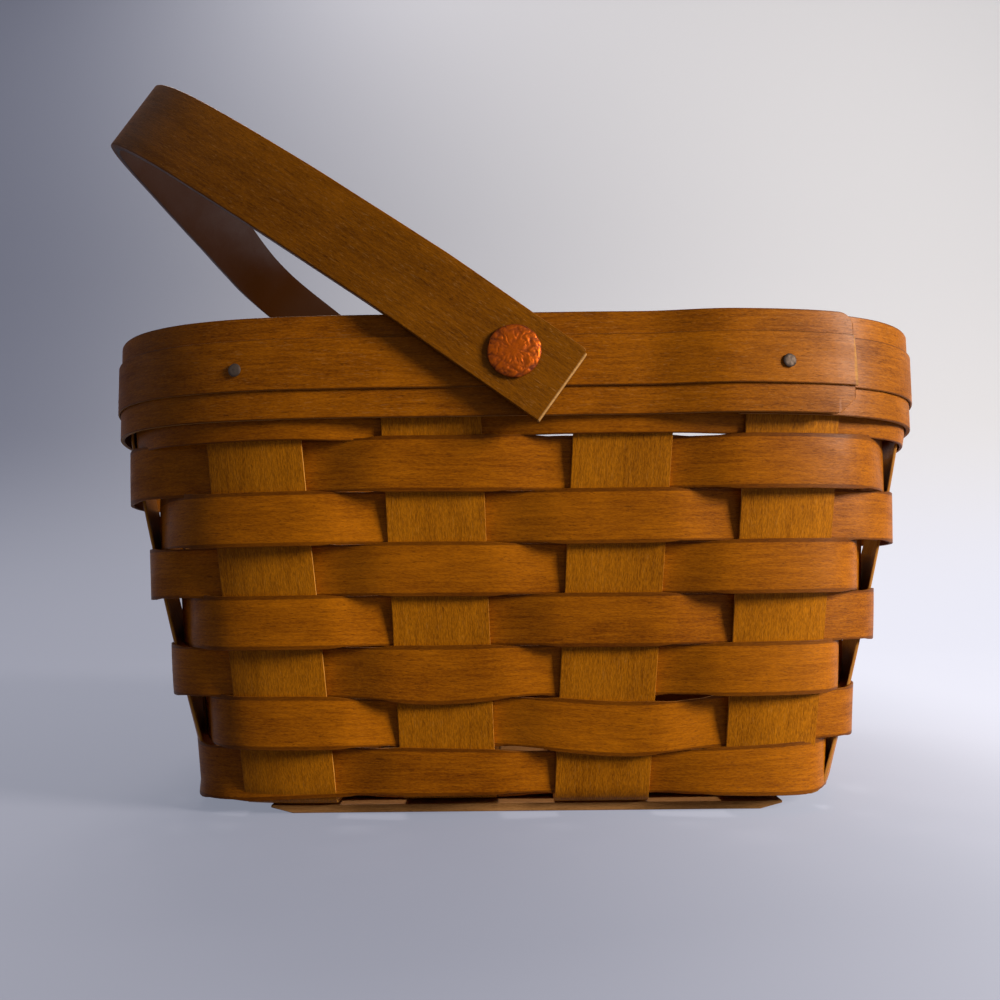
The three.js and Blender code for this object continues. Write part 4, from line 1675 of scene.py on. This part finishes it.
    def stand(self, shape: bmesh.types.BMesh, turn: float) -> None:
        """Turns a shape that was made for the back wall to its own wall, and lifts it to the pivot.

        Args:
            shape: The shape.
            turn: How far it is turned about the upright.
        """
        height = sum(corner.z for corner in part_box("rivet_front")) / 2
        bmesh.ops.rotate(shape, verts=shape.verts, cent=(0, 0, 0), matrix=Matrix.Rotation(turn, 3, "Z"))
        bmesh.ops.translate(shape, verts=shape.verts, vec=(0, 0, height))

    def washer(self, shop: Workshop, side: str, turn: float) -> None:
        """Makes the washer under a rivet's tail.

        Args:
            shop: Where the piece is dressed.
            side: Front or back.
            turn: Half a turn for the front, none for the back.
        """
        low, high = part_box(f"rivet_washer_{side}")
        radius, bore, soft = (high.x - low.x) / 2, self.bore, self.soft
        near, far = sorted((abs(low.y), abs(high.y)))
        profile = [
            (bore, far),
            (bore, near + soft),
            (bore + soft, near),
            (radius - soft, near),
            (radius, near + soft),
            (radius, far - soft),
            (radius - soft, far),
            (bore, far),
        ]
        shape = self.turned(profile, self.sides)
        patina_and_shade = shape.verts.layers.float.new("patina_and_shade")
        for vert in shape.verts:
            vert[patina_and_shade] = 0.4 + 0.4 * noise.noise(vert.co / (2 * MM))
        self.stand(shape, turn)
        shop.place(shape, f"{side}_washer", f"rivet_washer_{side}", Slot.COPPER, Body.BASKET)

    def tack(self, shop: Workshop, wall: str, end: str, seed: float) -> None:
        """Makes one tack, whose head stands on the trim.

        Args:
            shop: Where the piece is dressed.
            wall: The wall that it is in.
            end: Which end of the wall.
            seed: A number that makes each head differ.
        """
        node = f"tack_{wall}_{end}"
        low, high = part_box(node)
        centre = (low + high) / 2
        angle = math.atan2(centre.y, centre.x)
        out = self.plan.normal(angle, centre.z)
        radius = (high.z - low.z) / 2
        across = centre.x + math.copysign((high.x - low.x) / 2 - radius * abs(out.y), out.x)
        inwards = centre.y + math.copysign((high.y - low.y) / 2 - radius * abs(out.x), out.y)
        reach = Vector((across, inwards, centre.z)).dot(out) - self.sunk
        head, thick, shank, long = self.tack_head, self.tack_thickness, self.tack_shank, self.tack_length
        profile = [
            (0.0, -long),
            (shank, -long + self.tack_point),
            (shank, -thick),
            (head * 0.94, -thick),
            (head, -thick * 0.62),
            (head * 0.93, -thick * 0.26),
            (head * 0.62, -thick * 0.06),
            (0.0, 0.0),
        ]
        shape = self.turned(profile, self.tack_sides)
        patina_and_shade = shape.verts.layers.float.new("patina_and_shade")
        for vert in shape.verts:
            share = vert.co.xz.length / head
            # Darker towards the rim of the head.
            vert[patina_and_shade] = min(1.0, 0.35 + 0.65 * share**3)
            vert.co.y += 0.1 * MM * noise.noise(vert.co / (0.8 * MM) + Vector((seed, 0, 0))) * (share > 0.2)
        bmesh.ops.rotate(
            shape,
            verts=shape.verts,
            cent=(0, 0, 0),
            matrix=Matrix.Rotation(math.atan2(out.y, out.x) - math.pi / 2, 3, "Z"),
        )
        top = centre - out * centre.dot(out) + out * reach
        bmesh.ops.translate(shape, verts=shape.verts, vec=Vector((top.x, top.y, centre.z)))
        shop.place(shape, f"{wall}_{end}_tack", node, Slot.IRON, Body.BASKET)

    def build(self, shop: Workshop) -> None:
        """Makes every rivet, washer and tack."""
        for side, turn in (("front", math.pi), ("back", 0.0)):
            self.rivet(shop, side, turn)
            self.washer(shop, side, turn)
        places = [(wall, end) for wall in ("front", "back") for end in ("left", "right")]
        places += [(wall, end) for wall in ("right", "left") for end in ("front", "back")]
        for i, (wall, end) in enumerate(places):
            self.tack(shop, wall, end, i * 2.7)


@dataclass
class Runners:
    """The slats under the base that the basket stands on.

    Attributes:
        scarf: Length of the slope at each end.
        tip: Thickness that is left at the end of the slope.
    """

    scarf: float = 6 * MM
    tip: float = 0.6 * MM

    def build(self, shop: Workshop) -> None:
        """Makes the three slats."""
        for i, place in enumerate(("front", "middle", "back")):
            self.slat(shop, place, 31.0 + i)

    def slat(self, shop: Workshop, place: str, seed: float) -> None:
        """Makes one slat.

        Args:
            shop: Where the piece is dressed.
            place: Front, middle or back.
            seed: A number that makes each slat differ.
        """
        low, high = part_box(f"base_runner_{place}")
        size = high - low
        strip = Strip(
            length=size.x,
            width=size.y,
            thickness=size.z,
            seed=seed,
            across=6,
            round_over=0.25 * MM,
            fine_end=self.scarf,
        )

        def bend(along: float, side: float, depth: float) -> Vector:
            """Lays a point of the flat slat, with its ends sloped off underneath.

            Args:
                along: Distance along the grain.
                side: Distance across it.
                depth: Distance through it.

            Returns:
                Its place on the basket.
            """
            room = min(along, size.x - along)
            left = blend(self.tip / size.z, 1.0, min(room / self.scarf, 1.0))
            down = (size.z / 2 - depth) * left
            return Vector((low.x + along, (low.y + high.y) / 2 + side, high.z - down))

        shop.place(strip.bent(bend), f"{place}_runner", f"base_runner_{place}", Slot.RUNNER, Body.BASKET)


@dataclass(frozen=True)
class SweepFinish:
    """Pale paper with painted light, seen darker at the left and brighter towards the right, that throws
    little light back on the basket.

    Attributes:
        name: The material's name.
        wall: Colours of the backdrop, left and right, with painted shade at the left.
        wall_reach: Where these two lie, beside the middle.
        wall_painted_light: Painted light that the backdrop glows with, left and right.
        wall_lift_reach: Where these two lie.
        floor: Colour of the floor.
        floor_painted_light: Painted light that the floor glows with, left and right, which also lifts the
            shadow on it.
        floor_lift_reach: Where these two lie.
        rise: Heights between which the floor turns into the backdrop.
        bounce: Colour that light off the paper has.
        roughness: How matt the paper is.
    """

    name: str = "pale_sweep"
    wall: tuple[Colour, Colour] = (linear(116, 120, 135), linear(200, 198, 200))
    wall_reach: tuple[float, float] = (-0.8, 0.7)
    wall_painted_light: tuple[Colour, Colour] = (linear(70, 72, 86), linear(146, 146, 150))
    wall_lift_reach: tuple[float, float] = (-0.7, 0.6)
    floor: Colour = linear(108, 107, 116)
    floor_painted_light: tuple[Colour, Colour] = (linear(127, 131, 145), linear(216, 217, 228))
    floor_lift_reach: tuple[float, float] = (-0.04, 0.25)
    rise: tuple[float, float] = (0.0, 0.3)
    bounce: Colour = linear(110, 108, 108)
    roughness: float = 0.85

    def material(self) -> bpy.types.Material:
        """Builds the material."""
        graph = Graph(self.name)
        seen = graph.seen()
        place = graph.add("ShaderNodeTexCoord", {}, {}, "Object")
        height = graph.add("ShaderNodeSeparateXYZ", {}, {"Vector": place}, "Z")
        across = graph.add("ShaderNodeSeparateXYZ", {}, {"Vector": place}, "X")
        # Painted shade and light: the backdrop is darker at the left and brighter at the right.
        wall = graph.mix(across.between(*self.wall_reach), *self.wall)
        wall_painted_light = graph.mix(across.between(*self.wall_lift_reach), *self.wall_painted_light)
        floor_painted_light = graph.mix(across.between(*self.floor_lift_reach), *self.floor_painted_light)
        # Painted light: floor and backdrop glow for camera and glossy rays, more at the right, which lifts
        # the shadow on them.
        lift = graph.mix(height.between(*self.rise), floor_painted_light, wall_painted_light)
        paper = graph.mix(height.between(*self.rise), self.floor, wall)
        return graph.finish(
            {
                "Base Color": graph.mix(seen, self.bounce, paper),
                "Roughness": self.roughness,
                "Specular IOR Level": 0.2,
                "Emission Color": graph.mix(seen, (0.0, 0.0, 0.0), lift),
                "Emission Strength": 1.0,
            }
        )


@dataclass
class Studio:
    """The pale sweep that the basket stands on, the light, and the camera.

    Attributes:
        rim_top: Height of the rim.
        camera_offset: Place of the camera from the middle of the rim.
        yaw: Turn of the camera to the left.
        pitch: Tilt of the camera upwards.
        roll: Roll of the camera.
        lens: Focal length, in millimetres.
        lamp_turn: Direction of the lamp from the front, towards the right.
        lamp_rise: Height of the lamp as an angle.
        lamp_distance: Distance of the lamps from the basket.
        lamp_size: Width of the lamp's face.
        lamp_level: How bright a white surface that faces the lamp is.
        fill_turn: Direction of the second lamp.
        fill_rise: Its height as an angle.
        fill_level: How bright a white surface that faces it is.
        fill_size: Width of its face.
        room_light: Strength of the light from all round.
        sweep_half: Half the width of the sweep.
        sweep_flat: Place behind the middle where the floor starts to curve.
        sweep_curve: Radius of that curve.
    """

    LEVEL_WATTS = 9.87
    SENSOR_WIDTH = 36.0
    SWEEP_CUTS = 80
    LAMP_COLOUR = linear(255, 250, 242)
    ROOM_COLOUR = linear(226, 228, 240)
    ROOM_SEEN = linear(176, 177, 184)

    rim_top: float
    camera_offset: Vector = field(default_factory=lambda: Vector((-2.14, -366.43, -68.18)) * MM)
    yaw: float = math.radians(0.43)
    pitch: float = math.radians(4.79)
    roll: float = math.radians(-0.65)
    lens: float = 36.0
    lamp_turn: float = math.radians(61)
    lamp_rise: float = math.radians(18)
    lamp_distance: float = 1.4
    lamp_size: float = 0.36
    lamp_level: float = 1.34
    fill_turn: float = math.radians(205)
    fill_rise: float = math.radians(60)
    fill_level: float = 0.5
    fill_size: float = 0.5
    room_light: float = 0.12
    sweep_half: float = 3.0
    sweep_flat: float = 0.5
    sweep_curve: float = 0.5

    def build(self) -> None:
        """Sets up the sweep, the light and the camera."""
        self.sweep()
        self.lamps()
        self.room()
        self.camera()
        bpy.context.scene.view_settings.view_transform = "Standard"

    def room(self) -> None:
        """Lights the scene faintly from all round, and shows a pale room beyond the sweep."""
        graph = Graph("room_light", of_world=True)
        seen = graph.seen()
        colour = graph.mix(seen, self.ROOM_COLOUR, self.ROOM_SEEN)
        strength = self.room_light + (1 - self.room_light) * seen
        background = graph.add("ShaderNodeBackground", {}, {"Color": colour, "Strength": strength})
        graph.tree.links.new(background.socket, graph.output.inputs["Surface"])
        bpy.context.scene.world = graph.owner

    def sweep(self) -> None:
        """Makes a floor that curves up into a backdrop."""
        shape = bmesh.new()
        bmesh.ops.create_grid(shape, x_segments=2, y_segments=self.SWEEP_CUTS, size=self.sweep_half)
        flat, curve = self.sweep_flat, self.sweep_curve
        for vert in shape.verts:
            along = vert.co.y
            turn = min(max(along - flat, 0.0) / curve, math.pi / 2)
            rise = max(along - flat - curve * math.pi / 2, 0.0)
            vert.co.y = min(along, flat) + curve * math.sin(turn)
            vert.co.z = curve * (1 - math.cos(turn)) + rise
        mesh = bpy.data.meshes.new("sweep")
        shape.to_mesh(mesh)
        shape.free()
        mesh.shade_smooth()
        mesh.materials.append(SweepFinish().material())
        sweep = bpy.data.objects.new("sweep", mesh)
        bpy.context.scene.collection.objects.link(sweep)

    def lamps(self) -> None:
        """Adds the soft lamp, as of a window to the right, and a faint one behind and above."""
        self.lamp("window", self.lamp_turn, self.lamp_rise, self.lamp_level, self.lamp_size)
        self.lamp("back_fill", self.fill_turn, self.fill_rise, self.fill_level, self.fill_size)

    def lamp(self, name: str, turn: float, rise: float, level: float, size: float) -> None:
        """Adds a lamp.

        Args:
            name: The lamp's name.
            turn: Its direction from the front, towards the right.
            rise: Its height as an angle.
            level: How bright a white surface that faces it is.
            size: Width of its face.
        """
        aim = Vector((0, 0, self.rim_top / 2))
        level_way = math.cos(rise)
        way = Vector((level_way * math.sin(turn), -level_way * math.cos(turn), math.sin(rise)))
        light = bpy.data.lights.new(name, "AREA")
        light.size = size
        light.energy = level * self.LEVEL_WATTS * self.lamp_distance**2
        light.color = self.LAMP_COLOUR
        lamp = bpy.data.objects.new(name, light)
        lamp.location = aim + way * self.lamp_distance
        lamp.rotation_euler = way.to_track_quat("Z", "Y").to_euler()
        bpy.context.scene.collection.objects.link(lamp)

    def camera(self) -> None:
        """Adds the camera."""
        data = bpy.data.cameras.new("camera")
        data.lens = self.lens
        data.sensor_width = self.SENSOR_WIDTH
        camera = bpy.data.objects.new("camera", data)
        place = Matrix.Translation(self.camera_offset + Vector((0, 0, self.rim_top)))
        turn = Matrix.Rotation(self.yaw, 4, "Z") @ Matrix.Rotation(math.pi / 2 + self.pitch, 4, "X")
        camera.matrix_world = place @ turn @ Matrix.Rotation(self.roll, 4, "Z")
        bpy.context.scene.collection.objects.link(camera)
        bpy.context.scene.camera = camera


def main() -> None:
    """Builds the basket and the studio."""
    logging.basicConfig(level=logging.INFO, format="%(message)s")
    band_low, band_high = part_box("rim_band_outer")
    plan = WallPlan(rim_top=band_high.z, band_bottom=band_low.z)
    shop = Workshop()
    stakes = Stakes(plan)
    stakes.build(shop)
    Weavers(stakes).build(shop)
    Rim(plan).build(shop)
    rivet_low, rivet_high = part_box("rivet_front")
    Handle(pivot=(rivet_low.z + rivet_high.z) / 2).build(shop)
    Fastenings(plan).build(shop)
    Runners().build(shop)
    Studio(rim_top=plan.rim_top).build()
    LOG.info("%d pieces", shop.made)


if __name__ == "__main__":
    main()
